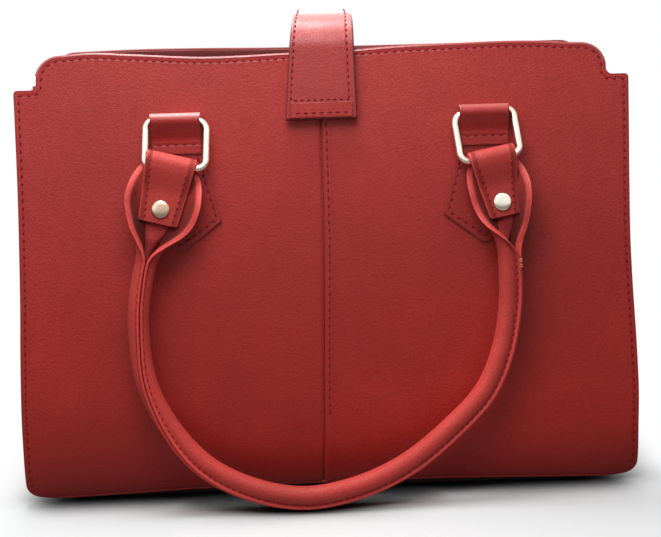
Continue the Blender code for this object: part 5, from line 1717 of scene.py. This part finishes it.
class ToteSizes(bpy.types.PropertyGroup):
    """What of the bag's shape can be set"""
    wave_height: length_property(
        "Wave height", 0.0007, 0.0, 0.002, "How far the soft panels bulge and dip")
    seam_depth: length_property(
        "Seam depth", 0.0011, 0.0, 0.002, "How deep the centre seam is drawn in")
    stitch_pitch: length_property(
        "Stitch pitch", 0.0050, 0.002, 0.010, "From stitch to stitch on the panels and tabs")
    thread_width: length_property(
        "Thread width", 0.0011, 0.0003, 0.002, "Width of a stitch's thread")
    ring_turn_left: turn_property(
        "Left ring turn", 3.0, "How far the left ring hangs turned in its plane")
    ring_turn_right: turn_property(
        "Right ring turn", 7.0, "How far the right ring hangs turned in its plane")
    fold_turn_left: turn_property("Left fold turn", 14.5, "Slope of the handle's left fold")
    fold_turn_right: turn_property("Right fold turn", 11.0, "Slope of the handle's right fold")


class ToteColours(bpy.types.PropertyGroup):
    """The bag's and the floor's colours"""
    leather: colour_property(
        "Leather", (0.385, 0.019, 0.013), "Panels, gussets, bottom edges and the strap's end")
    # A darker copy of the leather: painted shade on the tabs and strap
    tab_leather: colour_property("Tab leather", (0.33, 0.0165, 0.012), "Ring tabs and strap")
    handle_leather: colour_property("Handle leather", (0.54, 0.050, 0.041), "Handles")
    inside_leather: colour_property(
        "Inside leather", (0.20, 0.022, 0.022), "Facings, strap's lining, back's turned top edge")
    padding: colour_property("Padding", (0.34, 0.034, 0.032), "Padding's ends in the handles")
    # Near black: painted shade under the bag
    base_leather: colour_property("Base leather", (0.045, 0.010, 0.010), "Underside of the bag")
    thread: colour_property("Thread", (0.29, 0.012, 0.021), "Stitches of the bag and strap")
    fin_thread: colour_property("Handle thread", (0.40, 0.026, 0.024), "Stitches of the handles")
    tack: colour_property("Tack thread", (0.85, 0.30, 0.14), "Short tacks at the handle's ends")
    metal: colour_property("Metal", (0.98, 0.91, 0.76), "Rings and the right rivet")
    rivet: colour_property("Worn metal", (0.62, 0.46, 0.33), "The left rivet")
    magnet: colour_property("Magnet", (0.80, 0.79, 0.76), "Magnets of the strap")
    lining: colour_property("Lining", (0.55, 0.46, 0.33), "Cloth inside")
    # Near black red: painted shade, so that the gap in the handles' fin reads as a shadow line
    core: colour_property("Core", (0.085, 0.010, 0.009), "Dyed cord inside the handles")
    board: colour_property("Board", (0.19, 0.13, 0.08), "Stiff board in the base")
    floor: colour_property("Floor", (0.67, 0.695, 0.695), "Floor under the bag")


class TOTE_OT_panels(bpy.types.Operator):
    """Front and back panels with their stitches and edges"""
    bl_idname = "tote.panels"
    bl_label = "Panels"
    bl_options = {"REGISTER", "UNDO"}

    def execute(self, context):
        build_panels()
        return {"FINISHED"}


class TOTE_OT_facings(bpy.types.Operator):
    """Leather bands inside the mouth"""
    bl_idname = "tote.facings"
    bl_label = "Facings"
    bl_options = {"REGISTER", "UNDO"}

    def execute(self, context):
        build_facings()
        return {"FINISHED"}


class TOTE_OT_gussets(bpy.types.Operator):
    """Folded gussets at both sides"""
    bl_idname = "tote.gussets"
    bl_label = "Gussets"
    bl_options = {"REGISTER", "UNDO"}

    def execute(self, context):
        build_gussets()
        return {"FINISHED"}


class TOTE_OT_base(bpy.types.Operator):
    """Base and cloth lining"""
    bl_idname = "tote.base"
    bl_label = "Base and lining"
    bl_options = {"REGISTER", "UNDO"}

    def execute(self, context):
        build_base()
        return {"FINISHED"}


class TOTE_OT_tabs(bpy.types.Operator):
    """Ring tabs sewn to the panels"""
    bl_idname = "tote.tabs"
    bl_label = "Ring tabs"
    bl_options = {"REGISTER", "UNDO"}

    def execute(self, context):
        build_tabs()
        return {"FINISHED"}


class TOTE_OT_rings(bpy.types.Operator):
    """Metal rings"""
    bl_idname = "tote.rings"
    bl_label = "Rings"
    bl_options = {"REGISTER", "UNDO"}

    def execute(self, context):
        build_rings()
        return {"FINISHED"}


class TOTE_OT_handles(bpy.types.Operator):
    """Handles with their rivets and stitched fins"""
    bl_idname = "tote.handles"
    bl_label = "Handles"
    bl_options = {"REGISTER", "UNDO"}

    def execute(self, context):
        build_handles()
        return {"FINISHED"}


class TOTE_OT_strap(bpy.types.Operator):
    """Closing strap with its lining and end band"""
    bl_idname = "tote.strap"
    bl_label = "Closing strap"
    bl_options = {"REGISTER", "UNDO"}

    def execute(self, context):
        build_strap()
        return {"FINISHED"}


class TOTE_OT_solids(bpy.types.Operator):
    """Finishes of the magnets, cores and board"""
    bl_idname = "tote.solids"
    bl_label = "Magnets, cores and board"
    bl_options = {"REGISTER", "UNDO"}

    def execute(self, context):
        dress_nodes()
        return {"FINISHED"}


class TOTE_OT_stage(bpy.types.Operator):
    """Floor, lights and camera"""
    bl_idname = "tote.stage"
    bl_label = "Stage"
    bl_options = {"REGISTER", "UNDO"}

    def execute(self, context):
        build_stage()
        return {"FINISHED"}


OPERATORS = (TOTE_OT_panels, TOTE_OT_facings, TOTE_OT_gussets, TOTE_OT_base, TOTE_OT_tabs,
             TOTE_OT_rings, TOTE_OT_handles, TOTE_OT_strap, TOTE_OT_solids, TOTE_OT_stage)


class TOTE_PT_sidebar(bpy.types.Panel):
    """Lists the bag's pieces, sizes and colours"""
    bl_idname = "TOTE_PT_sidebar"
    bl_label = "Tote bag"
    bl_space_type = "VIEW_3D"
    bl_region_type = "UI"
    bl_category = "Tote bag"

    def draw(self, context):
        for kind in OPERATORS:
            self.layout.operator(kind.bl_idname)
        for group in (context.scene.tote_sizes, context.scene.tote_colours):
            box = self.layout.box()
            for key in group.__annotations__:
                box.prop(group, key)


CLASSES = (ToteSizes, ToteColours, *OPERATORS, TOTE_PT_sidebar)


def register():
    for kind in CLASSES:
        bpy.utils.register_class(kind)
    bpy.types.Scene.tote_sizes = bpy.props.PointerProperty(type=ToteSizes)
    bpy.types.Scene.tote_colours = bpy.props.PointerProperty(type=ToteColours)


def unregister():
    del bpy.types.Scene.tote_colours
    del bpy.types.Scene.tote_sizes
    for kind in reversed(CLASSES):
        bpy.utils.unregister_class(kind)


def main():
    register()
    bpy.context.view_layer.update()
    bpy.ops.tote.panels()
    bpy.ops.tote.facings()
    bpy.ops.tote.gussets()
    bpy.ops.tote.base()
    bpy.ops.tote.tabs()
    bpy.ops.tote.rings()
    bpy.ops.tote.handles()
    bpy.ops.tote.strap()
    bpy.ops.tote.solids()
    bpy.ops.tote.stage()


if __name__ == "__main__":
    main()
